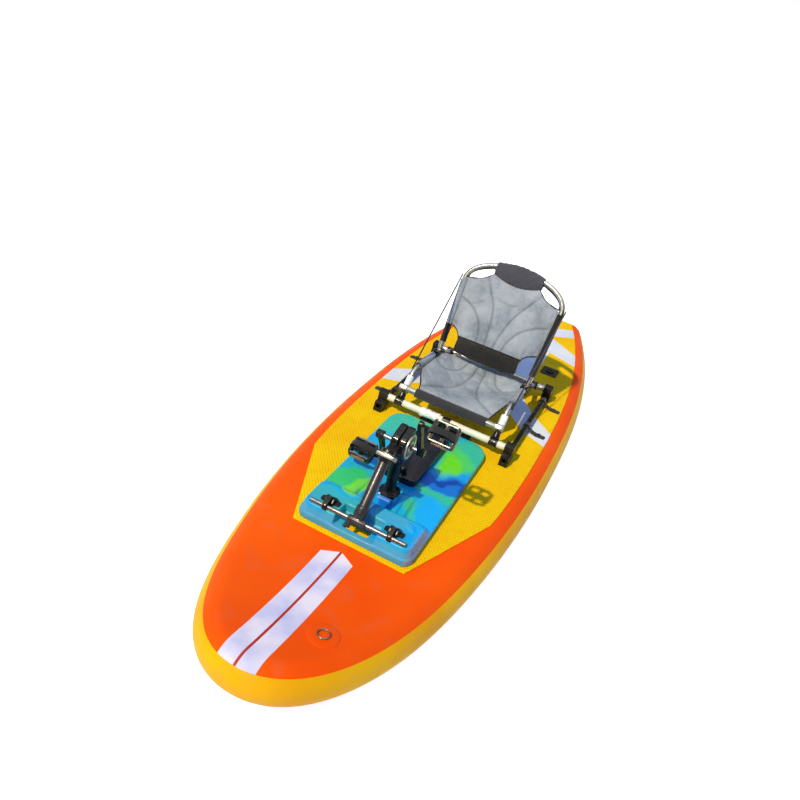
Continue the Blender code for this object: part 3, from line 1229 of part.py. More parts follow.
PILLOW_HALF = 0.104
PILLOW_STEPS = 6
PILLOW_SIDES = 12
PILLOW_LOW = 0.373
PILLOW_SAG = 0.025
PILLOW_PADDING = 0.016
pillow = bmesh.new()
pillow_loops = []


def pillow_low(x):
    return PILLOW_LOW - PILLOW_SAG * max(0.0, 1 - (x / PILLOW_HALF) ** 2)


for i in range(PILLOW_STEPS + 1):
    x = -PILLOW_HALF + 2 * PILLOW_HALF * i / PILLOW_STEPS
    high = arch_height(x) + PILLOW_PADDING + 0.004 * math.sin(math.pi * i / PILLOW_STEPS)
    middle, half = (high + pillow_low(x)) / 2, (high - pillow_low(x)) / 2
    loop = []
    for k in range(PILLOW_SIDES):
        angle = 2 * math.pi * k / PILLOW_SIDES
        depth = 0.0135 + 0.0085 * (1 + math.sin(angle)) / 2
        loop.append((x, depth * math.cos(angle), middle + half * math.sin(angle)))
    pillow_loops.append(add_loop(pillow, loop))
for first, second in zip(pillow_loops, pillow_loops[1:]):
    bridge(pillow, first, second)
pillow.faces.new(list(reversed(pillow_loops[0])))
pillow.faces.new(pillow_loops[-1])
head_pillow = solid("head_pillow", pillow, WEBBING, back_axis)
inside_pillow = [point for point in arch if abs(point[0]) < PILLOW_HALF + 0.06]
combine(head_pillow, path_mesh(inside_pillow, BACK_TUBE_RADIUS + 0.0006, TUBE_SIDES))


# Sewn pads: a sheet of quilted foam with a crowned face, drawn-in edges and curved channels

PAD_COLUMNS = 13
ROW_STEP = 0.030
CHANNEL_REACH = 0.010


def channel_points(curves):
    """Points along both halves of each channel, on straight runs between its corners."""
    points = []
    for curve in curves:
        for (x0, y0), (x1, y1) in zip(curve, curve[1:]):
            for i in range(9):
                x, y = x0 + (x1 - x0) * i / 8, y0 + (y1 - y0) * i / 8
                points += [Vector((x, y)), Vector((-x, y))]
    return points


def surface_normal(surface, x, y):
    step = 1e-3
    here = Vector(surface(x, y))
    across = Vector(surface(x + step, y)) - here
    along = Vector(surface(x, y + step)) - here
    return across.cross(along).normalized()


def across_at(edge, along):
    """Half the width of a pad at this distance along it, from the corner points of its right edge."""
    for (x0, y0), (x1, y1) in zip(edge, edge[1:]):
        if y0 <= along <= y1:
            return x0 + (x1 - x0) * (along - y0) / (y1 - y0)
    return edge[-1][0] if along > edge[-1][1] else edge[0][0]


def pad_rows(edge):
    """Places along a pad for its rows: every corner of its edge, and steps between far ones."""
    rows = [edge[0][1]]
    for (_, y0), (_, y1) in zip(edge, edge[1:]):
        steps = max(1, round((y1 - y0) / ROW_STEP))
        rows += [y0 + (y1 - y0) * (i + 1) / steps for i in range(steps)]
    return rows


def sewn_pad(edge, surface, thickness, curves):
    """A pad with this right edge; surface(x, y) is its middle, where y is the distance along it."""
    points = channel_points(curves)
    rows = pad_rows(edge)
    spacing = 2 * max(x for x, _ in edge) / (PAD_COLUMNS - 1)
    mesh = bmesh.new()
    rims = []
    for face_sign in (1, -1):
        grid = []
        for y in rows:
            row = []
            for i in range(PAD_COLUMNS):
                s = 2 * i / (PAD_COLUMNS - 1) - 1
                half = across_at(edge, y)
                x, along = s * half, y
                rim = max(0.0, min((1 - abs(s)) * half, along - rows[0], rows[-1] - along))
                nearest = min(points, key=lambda point: (point.x - x) ** 2 + (point.y - along) ** 2)
                distance = math.hypot(nearest.x - x, nearest.y - along)
                if rim > spacing * 0.6 and distance < spacing * 0.52:
                    x, along = nearest.x, nearest.y
                    distance = 0.0
                crown = thickness * (0.30 + 0.70 * min(1, math.sqrt(rim / 0.035)))
                crown *= 1 - 0.55 * max(0.0, 1 - distance / CHANNEL_REACH)
                base = Vector(surface(x, along))
                row.append(mesh.verts.new(base + surface_normal(surface, x, along) * face_sign * crown / 2))
            grid.append(row)
        rims.append(sheet_faces(mesh, grid))
    bridge(mesh, *rims)
    return mesh


def sheet_faces(mesh, grid):
    """Fills a grid of points with faces and returns the points round its edge."""
    rows, columns = len(grid), len(grid[0])
    for j in range(rows - 1):
        for i in range(columns - 1):
            mesh.faces.new((grid[j][i], grid[j][i + 1], grid[j + 1][i + 1], grid[j + 1][i]))
    rim = [grid[0][i] for i in range(columns)] + [grid[j][-1] for j in range(1, rows)]
    return rim + [grid[-1][i] for i in range(columns - 2, -1, -1)] + [grid[j][0]
                                                                      for j in range(rows - 2, 0, -1)]


def ease(low, high, value):
    share = min(max((value - low) / (high - low), 0), 1)
    return share * share * (3 - 2 * share)


SEAT_HALF = 0.181
SEAT_EDGE = ((0.144, -0.036), (0.147, -0.022), (0.154, 0.000), (0.165, 0.021), (0.174, 0.036),
             (SEAT_HALF, 0.054),
             (SEAT_HALF, 0.258), (0.177, 0.270), (0.166, 0.282), (0.148, 0.290), (0.128, 0.300))
SEAT_RISE = 0.022


def seat_surface(x, y):
    """Sags in its middle, rides up to the side tubes, and rises behind the hips."""
    t = (y - SEAT_EDGE[0][1]) / (SEAT_EDGE[-1][1] - SEAT_EDGE[0][1])
    centre = 0.249 + 0.055 * (t - 0.5) ** 2 + SEAT_RISE * ease(0.78, 1.0, t)
    edge = 0.262 + 0.040 * ease(0.0, 0.26, t) - 0.020 * ease(0.3, 1.0, t)
    return (x, y, centre + (edge - centre) * min(abs(x) / SEAT_HALF, 1) ** 2.2)


SEAT_CHANNELS = (((0.141, 0.000), (0.091, 0.043), (0.050, 0.102), (0.028, 0.182), (0.018, 0.278)),
                 ((0.176, 0.196), (0.146, 0.181), (0.122, 0.186), (0.100, 0.206), (0.074, 0.246),
                  (0.060, 0.280)))
solid("seat_pad", sewn_pad(SEAT_EDGE, seat_surface, 0.016, SEAT_CHANNELS), GREY, sharp=60)

BACK_LOW = 0.082
BACK_INNER = 0.1882
SCOOP_START = 0.324
SCOOP_END = 0.370
BACK_EDGE = ((0.136, BACK_LOW), (0.143, 0.094), (0.156, 0.106), (0.172, 0.114), (BACK_INNER, 0.122),
             (BACK_INNER + 0.0086, SCOOP_START), (0.177, 0.328), (0.144, 0.337), (0.128, 0.346),
             (0.116, 0.356),
             (0.101, SCOOP_END))


def back_surface(x, y):
    """Bulges forward at the loin, and its top edge sags with the sleeve above it."""
    t = (y - BACK_LOW) / (SCOOP_END - BACK_LOW)
    forward = (0.046 * (1 - ease(0.0, 0.75, t)) + 0.012 * (1 - t)) * (1 - min(abs(x) / BACK_INNER,
                                                                              1) ** 2.2) + 0.006
    sag = PILLOW_SAG * ease(0.55, 1.0, t) * max(0.0, 1 - (x / PILLOW_HALF) ** 2)
    return (-x, -forward, y - sag)


BACK_CHANNELS = (((0.114, 0.345), (0.074, 0.287), (0.044, 0.227), (0.026, 0.153), (0.018, 0.090)),
                 ((0.184, 0.238), (0.135, 0.218), (0.088, 0.177), (0.064, 0.133), (0.053, 0.090)))
back_pad = solid("back_pad", sewn_pad(BACK_EDGE, back_surface, 0.014, BACK_CHANNELS), GREY, back_axis,
                 sharp=60)

# Lumbar band: black cloth below the back pad, sewn to it, sagging forward in the middle

BAND_ROWS = 5
BAND_COLUMNS = 8
lumbar = bmesh.new()
lumbar_rims = []
for offset in (0.0, 0.0030):
    grid = []
    for j in range(BAND_ROWS):
        t = j / (BAND_ROWS - 1)
        row = []
        for i in range(BAND_COLUMNS):
            s = 2 * i / (BAND_COLUMNS - 1) - 1
            x = s * (0.134 - 0.003 * t)
            joined = -back_surface(x, BACK_LOW)[1]
            low = 0.012 + 0.008 * s * s
            free = 0.036 - 0.010 * s * s
            forward = free + (joined - free) * math.sin(math.pi / 2 * t)
            row.append(lumbar.verts.new((x, -forward - offset + 0.0015, low + (BACK_LOW + 0.008 - low) * t)))
        grid.append(row)
    lumbar_rims.append(sheet_faces(lumbar, grid))
bridge(lumbar, *lumbar_rims)
combine(back_pad, lumbar, "UNION")


# Webbing: flat straps made from a centre line, a width direction and a thickness

def add_strap(mesh, points, width, across, thickness=0.0016):
    across = Vector(across).normalized()
    points = [Vector(point) for point in points]
    loops = []
    for i, centre in enumerate(points):
        tangent = (points[min(i + 1, len(points) - 1)] - points[max(i - 1, 0)]).normalized()
        normal = tangent.cross(across).normalized()
        wide = normal.cross(tangent).normalized() * width / 2
        deep = normal * thickness / 2
        loops.append(add_loop(mesh, [centre - wide - deep, centre + wide - deep, centre + wide + deep,
                                     centre - wide + deep]))
    for first, second in zip(loops, loops[1:]):
        bridge(mesh, first, second)
    mesh.faces.new(list(reversed(loops[0])))
    mesh.faces.new(loops[-1])


back_up = Vector((0, math.sin(BACK_LEAN), math.cos(BACK_LEAN)))
strap_top = pivot_at + back_up * (side_top + 0.020)
for sign, side in SIDES:
    strap = bmesh.new()
    upper = Vector((sign * (BACK_TOP_X + 0.0155), strap_top.y, strap_top.z))
    lower = Vector((sign * (SIDE_X + 0.0125), LEG_TOP[0] + 0.005, LEG_TOP[1] - 0.012))
    add_strap(strap, [upper + (lower - upper) * i / 4 for i in range(5)], 0.020, (0, 0.55, 0.83))
    solid(f"side_strap_{side}", strap, WEBBING)

# Tie-downs: patch on the deck, flat ring, and a strap up and round the rail

ANCHOR_X = 0.322
PATCH_RADIUS = 0.024
WRAP_RADIUS = RAIL_RADIUS + 0.0014
for side, place, sign, y in (("left", "front", -1, 0.030), ("left", "rear", -1, 0.370),
                             ("right", "front", 1, 0.170),
                             ("right", "rear", 1, 0.400)):
    outline = [(sign * ANCHOR_X + PATCH_RADIUS * math.cos(math.radians(a)),
                y + PATCH_RADIUS * math.sin(math.radians(a)))
               for a in range(0, 360, 30)]
    tie = solid(f"tie_down_{place}_{side}", prism_mesh(outline, ON_PAD, ON_PAD + 0.002), WEBBING)
    centre = Vector((sign * (ANCHOR_X - 0.006), y))
    shapes = [[(centre.x + sign * a, centre.y + b) for a, b in shape] for shape in
              (((0.006, -0.015), (0.006, 0.015), (-0.016, 0.005), (-0.016, -0.005)),
               ((0.0025, -0.0095), (0.0025, 0.0095), (-0.0125, 0.0028), (-0.0125, -0.0028)))]
    flat_ring = bmesh.new()
    add_hollow_prism(flat_ring, *shapes, ON_PAD + 0.0012, ON_PAD + 0.0050)
    combine(tie, flat_ring, "UNION")
    rail = Vector((sign * RAIL_X, y, RAIL_Z))
    line = [Vector((sign * (ANCHOR_X - 0.016), y, ON_PAD + 0.0040)),
            Vector((sign * (ANCHOR_X - 0.026), y, ON_PAD + 0.0055))]
    for a in range(-40, 181, 22):
        line.append(rail + Vector((sign * math.cos(math.radians(a)), 0,
                                   math.sin(math.radians(a)))) * WRAP_RADIUS)
    strap = bmesh.new()
    add_strap(strap, line, 0.022, (0, 1, 0))
    combine(tie, strap, "UNION")
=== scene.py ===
"""Inflatable pedal paddle board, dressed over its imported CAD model."""

import math

import bmesh
import bpy
from mathutils import Matrix, Vector, noise
from mathutils.kdtree import KDTree


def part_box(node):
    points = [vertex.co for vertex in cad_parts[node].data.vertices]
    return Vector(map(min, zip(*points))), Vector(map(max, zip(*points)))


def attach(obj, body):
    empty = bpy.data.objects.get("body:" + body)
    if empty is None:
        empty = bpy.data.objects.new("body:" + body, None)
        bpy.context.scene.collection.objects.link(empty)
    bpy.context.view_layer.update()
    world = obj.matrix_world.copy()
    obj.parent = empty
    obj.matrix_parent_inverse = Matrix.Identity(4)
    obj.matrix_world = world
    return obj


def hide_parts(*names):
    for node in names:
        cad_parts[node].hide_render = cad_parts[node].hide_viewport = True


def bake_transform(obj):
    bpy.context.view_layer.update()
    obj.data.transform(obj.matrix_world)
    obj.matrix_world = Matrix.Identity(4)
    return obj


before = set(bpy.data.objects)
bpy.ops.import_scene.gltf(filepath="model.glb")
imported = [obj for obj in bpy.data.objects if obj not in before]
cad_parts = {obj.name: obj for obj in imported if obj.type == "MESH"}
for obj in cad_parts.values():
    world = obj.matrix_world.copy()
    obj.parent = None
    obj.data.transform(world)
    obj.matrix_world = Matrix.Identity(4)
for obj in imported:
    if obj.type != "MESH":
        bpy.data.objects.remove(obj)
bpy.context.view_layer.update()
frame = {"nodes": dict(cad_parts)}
scene = bpy.context.scene
scene.view_settings.view_transform = "Standard"

# Camera: a standing person's view over the bow, from a little to the right at +X, held slightly tilted

EYE = (0.5763, -2.3181, 1.7111)
LENS_MM = 32.894
SENSOR_MM = 36.0
FROM_RIGHT = math.radians(18.968)
LOOKING_DOWN = math.radians(32.233)
HEAD_TILT = math.radians(13.026)

ahead = Vector((-math.sin(FROM_RIGHT) * math.cos(LOOKING_DOWN), math.cos(FROM_RIGHT) * math.cos(LOOKING_DOWN),
                -math.sin(LOOKING_DOWN)))
level = Vector((math.cos(FROM_RIGHT), math.sin(FROM_RIGHT), 0))
upright = level.cross(ahead)
right = level * math.cos(HEAD_TILT) + upright * math.sin(HEAD_TILT)
above = upright * math.cos(HEAD_TILT) - level * math.sin(HEAD_TILT)
lens = bpy.data.cameras.new("camera")
lens.lens = LENS_MM
lens.sensor_width = SENSOR_MM
lens.clip_end = 60
camera = bpy.data.objects.new("camera", lens)
scene.collection.objects.link(camera)
camera.matrix_world = Matrix.Translation(EYE) @ Matrix((right, above, -ahead)).transposed().to_4x4()
scene.camera = camera

# Floor, sky and sun: a plain pale floor that fades to white, a pale bluish sky, and one warm sun high
# ahead of the bow, aimed so that the right pedal's shadow falls on the foam beside the drive plate


def paint(red, green, blue):
    """A colour given as 0 to 255, the way a paint chart lists it."""
    def linear(part):
        share = part / 255
        return share / 12.92 if share <= 0.04045 else ((share + 0.055) / 1.055) ** 2.4
    return (linear(red), linear(green), linear(blue), 1.0)


def put(tree, kind, inputs=(), **settings):
    """Adds a shader node; inputs are pairs of an input's name or number and a value or an output."""
    made = tree.nodes.new(kind)
    for key, value in settings.items():
        setattr(made, key, value)
    for key, value in dict(inputs).items():
        if isinstance(value, bpy.types.NodeSocket):
            tree.links.new(value, made.inputs[key])
        else:
            made.inputs[key].default_value = value
    return made


def math_node(tree, operation, first, second=0.0, clamp=False):
    return put(tree, "ShaderNodeMath", {0: first, 1: second}, operation=operation, use_clamp=clamp).outputs[0]


def mixed(tree, factor, first, second):
    """One colour mixed with another. A Mix node's colours are its sockets 6 and 7, its result socket 2."""
    return put(tree, "ShaderNodeMix", {0: factor, 6: first, 7: second}, data_type="RGBA").outputs[2]


FLOOR_COLOUR = paint(250, 250, 250)
SHADE_TINT = (0.50, 0.76, 1.40, 1.0)
SKY_STRENGTH = 0.48
MIRRORED_LOW = 0.22
MIRRORED_HIGH = 1.25
MIRROR_START = 0.55
MIRROR_END = 0.92
SUN_STRENGTH = 3.3
SUN_COLOUR = (1.0, 0.87, 0.56)
SUN_SPREAD = math.radians(1.6)
SUN_AIM = Vector((0.224, 0.577, -0.786))

sky = bpy.data.worlds.new("sky")
scene.world = sky
sky.use_nodes = True
tree = sky.node_tree
seen = put(tree, "ShaderNodeLightPath")
towards = put(tree, "ShaderNodeSeparateXYZ", {0: put(tree, "ShaderNodeTexCoord").outputs["Generated"]})
mirrored_sky = {"Value": towards.outputs["Z"], "From Min": MIRROR_START, "From Max": MIRROR_END,
                "To Min": MIRRORED_LOW, "To Max": MIRRORED_HIGH}
overhead = put(tree, "ShaderNodeMapRange", mirrored_sky).outputs["Result"]
lit = put(tree, "ShaderNodeMix", {"Factor": seen.outputs["Is Glossy Ray"], "A": SKY_STRENGTH, "B": overhead},
          data_type="FLOAT")
sky_lit = {"Factor": seen.outputs["Is Camera Ray"], "A": lit.outputs["Result"], "B": 1.0}
strength = put(tree, "ShaderNodeMix", sky_lit, data_type="FLOAT")
tint = mixed(tree, seen.outputs["Is Diffuse Ray"], (1.0, 1.0, 1.0, 1.0), SHADE_TINT)
background = tree.nodes["Background"]
tree.links.new(tint, background.inputs["Color"])
tree.links.new(strength.outputs["Result"], background.inputs["Strength"])

sun = bpy.data.lights.new("soft_sun", "SUN")
sun.energy = SUN_STRENGTH
sun.color = SUN_COLOUR
sun.angle = SUN_SPREAD
sun_lamp = bpy.data.objects.new("soft_sun", sun)
sun_lamp.rotation_euler = SUN_AIM.to_track_quat("-Z", "Y").to_euler()
scene.collection.objects.link(sun_lamp)

FLOOR_SIZE = 30.0
FLOOR_GLOW = 0.80
bpy.ops.object.select_all(action="DESELECT")
bpy.ops.mesh.primitive_plane_add(size=FLOOR_SIZE, location=(0, 0, 0))
floor = bpy.context.object
floor.name = "floor"
floor_paint = bpy.data.materials.new("pale_floor")
floor_paint.use_nodes = True
tree = floor_paint.node_tree
shader = tree.nodes["Principled BSDF"]
shader.inputs["Base Color"].default_value = FLOOR_COLOUR
shader.inputs["Roughness"].default_value = 0.9
shader.inputs["Specular IOR Level"].default_value = 0.0
seen = put(tree, "ShaderNodeLightPath")
glow = math_node(tree, "MULTIPLY", seen.outputs["Is Camera Ray"], FLOOR_GLOW)
shader.inputs["Emission Color"].default_value = (1.0, 1.0, 1.0, 1.0)
tree.links.new(glow, shader.inputs["Emission Strength"])
floor.data.materials.append(floor_paint)

# Hull: drop-stitch fabric, blown up hard, with a flat deck and bottom and a round rail. The deck is
# orange, with a white stripe printed from the nose towards the foam, split by a thin orange-red line.

HALF_WIDTH = 0.3535
HALF_LENGTH = 1.3235
RAIL_ROUND = 0.075
DECK = 0.150
BOW_STEPS = 56
SIDE_STEPS = 44
CORNER_STEPS = 8
ROUND_STEPS = 28
BOW_FULLNESS = 0.96
TAIL_NARROWING = 0.556
TAIL_POWER = 2.61
ROCKER_START = -0.80
ROCKER_RATE = 0.25
STRIPE_HALF = 0.0545
STRIPE_SHOULDER = -0.878
STRIPE_TIP = -0.850
STRIPE_LINE = 0.0038


def rocker(y):
    """How far the bow rises at this place along the board."""
    return ROCKER_RATE * max(0.0, ROCKER_START - y) ** 2


def tail_half(y):
    return HALF_WIDTH * (1 - TAIL_NARROWING * (y / HALF_LENGTH) ** TAIL_POWER)


def board_side():
    """Points and outward directions down the right side of the board's flat deck, from nose to tail."""
    side = []
    for i in range(BOW_STEPS):
        angle = math.pi / 2 * (1 - i / BOW_STEPS)
        across = max(math.cos(angle), 0.0)
        out = Vector((HALF_LENGTH * across, -HALF_WIDTH * math.sin(angle))).normalized()
        place = (HALF_WIDTH * across ** BOW_FULLNESS if i else 0.0, -HALF_LENGTH * math.sin(angle))
        side.append((place, out))
    for i in range(SIDE_STEPS + 1):
        y = HALF_LENGTH * i / SIDE_STEPS
        slope = (tail_half(y + 1e-4) - tail_half(y)) / 1e-4
        side.append(((tail_half(y), y), Vector((1, -slope)).normalized()))
    corner, last = side[-1]
    start = math.atan2(last.y, last.x)
    for i in range(1, CORNER_STEPS + 1):
        angle = start + (math.pi / 2 - start) * i / CORNER_STEPS
        side.append((corner, Vector((math.cos(angle), math.sin(angle)))))
    side.append(((0.0, HALF_LENGTH), Vector((0, 1))))
    return side


def board_ring():
    right_side = board_side()
    return right_side + [((-x, y), Vector((-n.x, n.y))) for (x, y), n in reversed(right_side[1:-1])]


def new_piece(name, mesh):
    """Turns a bmesh into an object in the scene, with merged points and faces that point outwards."""
    bmesh.ops.remove_doubles(mesh, verts=mesh.verts, dist=1e-6)
    bmesh.ops.recalc_face_normals(mesh, faces=mesh.faces)
    data = bpy.data.meshes.new(name)
    mesh.to_mesh(data)
    mesh.free()
    made = bpy.data.objects.new(name, data)
    scene.collection.objects.link(made)
    return made


def only(piece):
    """Leaves this piece alone selected and active."""
    bpy.ops.object.select_all(action="DESELECT")
    piece.select_set(True)
    bpy.context.view_layer.objects.active = piece


def apply_modifier(piece, kind, **settings):
    """Adds one modifier with these settings and applies it."""
    only(piece)
    modifier = piece.modifiers.new(kind.lower(), kind)
    for key, value in settings.items():
        setattr(modifier, key, value)
    bpy.ops.object.modifier_apply(modifier=modifier.name)


def smooth(piece, degrees=35):
    only(piece)
    bpy.ops.object.shade_smooth_by_angle(angle=math.radians(degrees))


def fasten(piece, finish, body, slot, *nodes):
    """Gives a piece its finishes, the body it rides on, and what it replaces; the slot is not used."""
    for coat in finish if isinstance(finish, tuple) else (finish,):
        piece.data.materials.append(coat)
    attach(piece, body)
    if nodes:
        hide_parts(*nodes)


def skin(mesh, loops, ring, tube):
    """Joins each loop of points to the next. Ring joins the last loop to the first, tube closes the loops."""
    for first, second in zip(loops, loops[1:] + loops[:1] if ring else loops[1:]):
        for k in range(len(first) if tube else len(first) - 1):
            j = (k + 1) % len(first)
            mesh.faces.new((first[k], first[j], second[j], second[k]))


def spaced(start, end, steps):
    """Evenly spaced values from one to the other."""
    return [start + (end - start) * i / steps for i in range(steps + 1)]


def rounded_rectangle(low, high, radius, steps=6):
    """Corner points, counterclockwise, of a rectangle with round corners."""
    points = []
    middle = ((low[0] + high[0]) / 2, (low[1] + high[1]) / 2)
    corners = ((high[0], low[1], -90), (high[0], high[1], 0), (low[0], high[1], 90), (low[0], low[1], 180))
    for x, y, start in corners:
        centre = (x - math.copysign(radius, x - middle[0]), y - math.copysign(radius, y - middle[1]))
        for i in range(steps + 1):
            angle = math.radians(start + 90 * i / steps)
            points.append((centre[0] + radius * math.cos(angle), centre[1] + radius * math.sin(angle)))
    return points


def prism(name, outline, low, high):
    """A solid with this outline in XY, from low to high."""
    mesh = bmesh.new()
    bottom = [mesh.verts.new((x, y, low)) for x, y in outline]
    top = [mesh.verts.new((x, y, high)) for x, y in outline]
    for i in range(len(outline)):
        j = (i + 1) % len(outline)
        mesh.faces.new((bottom[i], bottom[j], top[j], top[i]))
    mesh.faces.new(list(reversed(bottom)))
    mesh.faces.new(top)
    return new_piece(name, mesh)


def cut_away(piece, cutter):
    apply_modifier(piece, "BOOLEAN", object=cutter, operation="DIFFERENCE", solver="EXACT")
    bpy.data.objects.remove(cutter)


def score(mesh, line_start, line_end):
    """Cuts the faces of a bmesh along the upright plane through two points of the plan."""
    along = Vector((line_end[0] - line_start[0], line_end[1] - line_start[1], 0))
    bmesh.ops.bisect_plane(mesh, geom=mesh.verts[:] + mesh.edges[:] + mesh.faces[:], dist=1e-5,
                           plane_co=(line_start[0], line_start[1], 0), plane_no=(along.y, -along.x, 0))


def inside(outline, x, y):
    """Whether a point of the plan lies inside this outline."""
    crossings = 0
    for i, (ax, ay) in enumerate(outline):
        bx, by = outline[(i + 1) % len(outline)]
        if (ay > y) != (by > y) and x < ax + (bx - ax) * (y - ay) / (by - ay):
            crossings += 1
    return crossings % 2 == 1


WELL_OUTLINE = rounded_rectangle((-0.135, -0.585), (0.135, -0.135), 0.03)
mesh = bmesh.new()
loops = []
for (x, y), out in board_ring():
    loop = []
    for i in range(ROUND_STEPS + 1):
        angle = math.pi * i / ROUND_STEPS
        reach = RAIL_ROUND * math.sin(angle)
        height = RAIL_ROUND + RAIL_ROUND * math.cos(angle)
        loop.append(mesh.verts.new((x + out.x * reach, y + out.y * reach, height)))
    loops.append(loop)
count = len(loops)
skin(mesh, loops, True, False)
for end in (0, ROUND_STEPS):
    for i in range(count // 2):
        row = (i, i + 1, (count - i - 1) % count, (count - i) % count)
        corners = [loops[k][end] for k in row]
        kept = [v for k, v in enumerate(corners) if v not in corners[:k]]
        if len(kept) > 2:
            mesh.faces.new(kept)
for vertex in mesh.verts:
    vertex.co.z += rocker(vertex.co.y)
hull = new_piece("hull", mesh)
cut_away(hull, prism("well_cut", WELL_OUTLINE, -0.05, 0.2))
mesh = bmesh.new()
mesh.from_mesh(hull.data)
for x in (-STRIPE_HALF, -STRIPE_LINE, STRIPE_LINE, STRIPE_HALF):
    score(mesh, (x, 0), (x, 1))
for sign in (-1, 1):
    score(mesh, (sign * STRIPE_HALF, STRIPE_SHOULDER), (sign * STRIPE_LINE, STRIPE_TIP))
bmesh.ops.dissolve_degenerate(mesh, edges=mesh.edges, dist=1e-6)
mesh.normal_update()
for face in mesh.faces:
    centre = face.calc_center_median()
    across = abs(centre.x)
    limit = STRIPE_TIP + (STRIPE_SHOULDER - STRIPE_TIP) * (across - STRIPE_LINE) / (STRIPE_HALF - STRIPE_LINE)
    if face.normal.z > -0.1 and across < STRIPE_HALF and centre.y < limit:
        face.material_index = 1 if across > STRIPE_LINE else 2
mesh.to_mesh(hull.data)
mesh.free()
smooth(hull, 50)


def effect_group(name, numbers, results):
    """An empty node group that takes a Vector and these numbers, with its input and output nodes."""
    group = bpy.data.node_groups.new(name, "ShaderNodeTree")
    group.interface.new_socket("Vector", in_out="INPUT", socket_type="NodeSocketVector")
    for way, labels in (("INPUT", numbers), ("OUTPUT", results)):
        for label in labels:
            group.interface.new_socket(label, in_out=way, socket_type="NodeSocketFloat")
    return group, group.nodes.new("NodeGroupInput"), group.nodes.new("NodeGroupOutput")


def weave_group():
    """Two crossing sets of threads: Height is the cloth's relief, 0 in the gaps between threads."""
    group, start, end = effect_group("cloth_weave", ["Threads per metre"], ["Height"])
    scaled = put(group, "ShaderNodeVectorMath", {0: start.outputs["Vector"]}, operation="SCALE")
    group.links.new(start.outputs["Threads per metre"], scaled.inputs["Scale"])
    parts = put(group, "ShaderNodeSeparateXYZ", {0: scaled.outputs[0]})
    waves = []
    for axis in ("X", "Y"):
        turned = math_node(group, "MULTIPLY", parts.outputs[axis], math.pi)
        waves.append(math_node(group, "ABSOLUTE", math_node(group, "SINE", turned)))
    height = math_node(group, "MULTIPLY", waves[0], waves[1])
    group.links.new(height, end.inputs["Height"])
    return group


def patches_group():
    """Large soft patches, small mottling and fine grain for one surface, all between 0 and 1."""
    group, start, end = effect_group("surface_patches", ["Size"], ["Patches", "Mottle", "Grain"])
    for name, factor, detail in (("Patches", 1.0, 3.0), ("Mottle", 7.0, 4.0), ("Grain", 60.0, 2.0)):
        scale = math_node(group, "DIVIDE", factor, start.outputs["Size"])
        spots = put(group, "ShaderNodeTexNoise", {"Vector": start.outputs["Vector"], "Scale": scale,
                                                  "Detail": detail})
        group.links.new(spots.outputs["Fac"], end.inputs[name])
    return group


WEAVE = weave_group()
PATCHES = patches_group()


def begin(name, colour, roughness, metallic=0.0):
    """A material with one Principled shader, and the Object coordinates that its patterns are drawn in."""
    made = bpy.data.materials.new(name)
    made.use_nodes = True
    shader = made.node_tree.nodes["Principled BSDF"]
    shader.inputs["Base Color"].default_value = colour
    shader.inputs["Roughness"].default_value = roughness
    shader.inputs["Metallic"].default_value = metallic
    place = put(made.node_tree, "ShaderNodeTexCoord").outputs["Object"]
    return made, made.node_tree, shader, place


def ramp(tree, value, low, high, low_to=0.0, high_to=1.0):
    """Stretches a value between two limits, and holds it there."""
    limits = {"Value": value, "From Min": low, "From Max": high, "To Min": low_to, "To Max": high_to}
    return put(tree, "ShaderNodeMapRange", limits).outputs["Result"]


def uneven_gloss(tree, shader, marks, roughness, low, high, less, more):
    """Roughness that follows the mottling: this much less where it is low, and this much more where high."""
    change = ramp(tree, marks.outputs["Mottle"], low, high, less, more)
    tree.links.new(math_node(tree, "ADD", change, roughness, clamp=True), shader.inputs["Roughness"])


def relief(tree, shader, height, depth, after=None):
    """Adds a bump of this depth in metres, on top of another one if given."""
    bump = put(tree, "ShaderNodeBump", {"Height": height, "Strength": 1.0, "Distance": depth})
    if after is not None:
        tree.links.new(after, bump.inputs["Normal"])
    tree.links.new(bump.outputs["Normal"], shader.inputs["Normal"])
    return bump.outputs["Normal"]


def coated_cloth(name, colour, shaded, roughness, patch_size=0.5, scuffs=0.25):
    """Plastic-coated hull fabric: a fine base cloth shows through the coat, with painted shade in soft
    patches, faint dirt and scuffs.
    """
    made, tree, shader, place = begin(name, colour, roughness)
    marks = put(tree, "ShaderNodeGroup", {"Vector": place, "Size": patch_size}, node_tree=PATCHES)
    cloth = put(tree, "ShaderNodeGroup", {"Vector": place, "Threads per metre": 900.0}, node_tree=WEAVE)
    # Painted shade: soft patches turn the colour towards its shaded copy, which is bluish on the white print.
    tone = mixed(tree, ramp(tree, marks.outputs["Patches"], 0.35, 0.75), colour, shaded)
    dirt = ramp(tree, marks.outputs["Mottle"], 0.56, 0.80, 0.0, scuffs)
    shade_and_dust = mixed(tree, dirt, tone, mixed(tree, 0.5, shaded, paint(150, 140, 125)))
    tree.links.new(shade_and_dust, shader.inputs["Base Color"])
    uneven_gloss(tree, shader, marks, roughness, 0.35, 0.7, -0.06, 0.12)
    base = relief(tree, shader, cloth.outputs["Height"], 0.00005)
    relief(tree, shader, marks.outputs["Patches"], 0.0012, base)
    shader.inputs["Specular IOR Level"].default_value = 0.08
    return made


ORANGE_CLOTH = coated_cloth("orange_hull_cloth", paint(253, 94, 0), paint(243, 76, 0), 0.42)
WHITE_PRINT = coated_cloth("white_stripe_print", paint(238, 228, 240), paint(184, 188, 232), 0.34, 0.10, 0.12)
RED_PRINT = coated_cloth("red_line_print", paint(190, 62, 44), paint(172, 50, 38), 0.4)
fasten(hull, (ORANGE_CLOTH, WHITE_PRINT, RED_PRINT), "root", "orange_hull_fabric", "hull_shell")

# Bow patch: a round disc of hull cloth glued to the deck near the nose, with a small steel ring on it
# that takes a tow line.

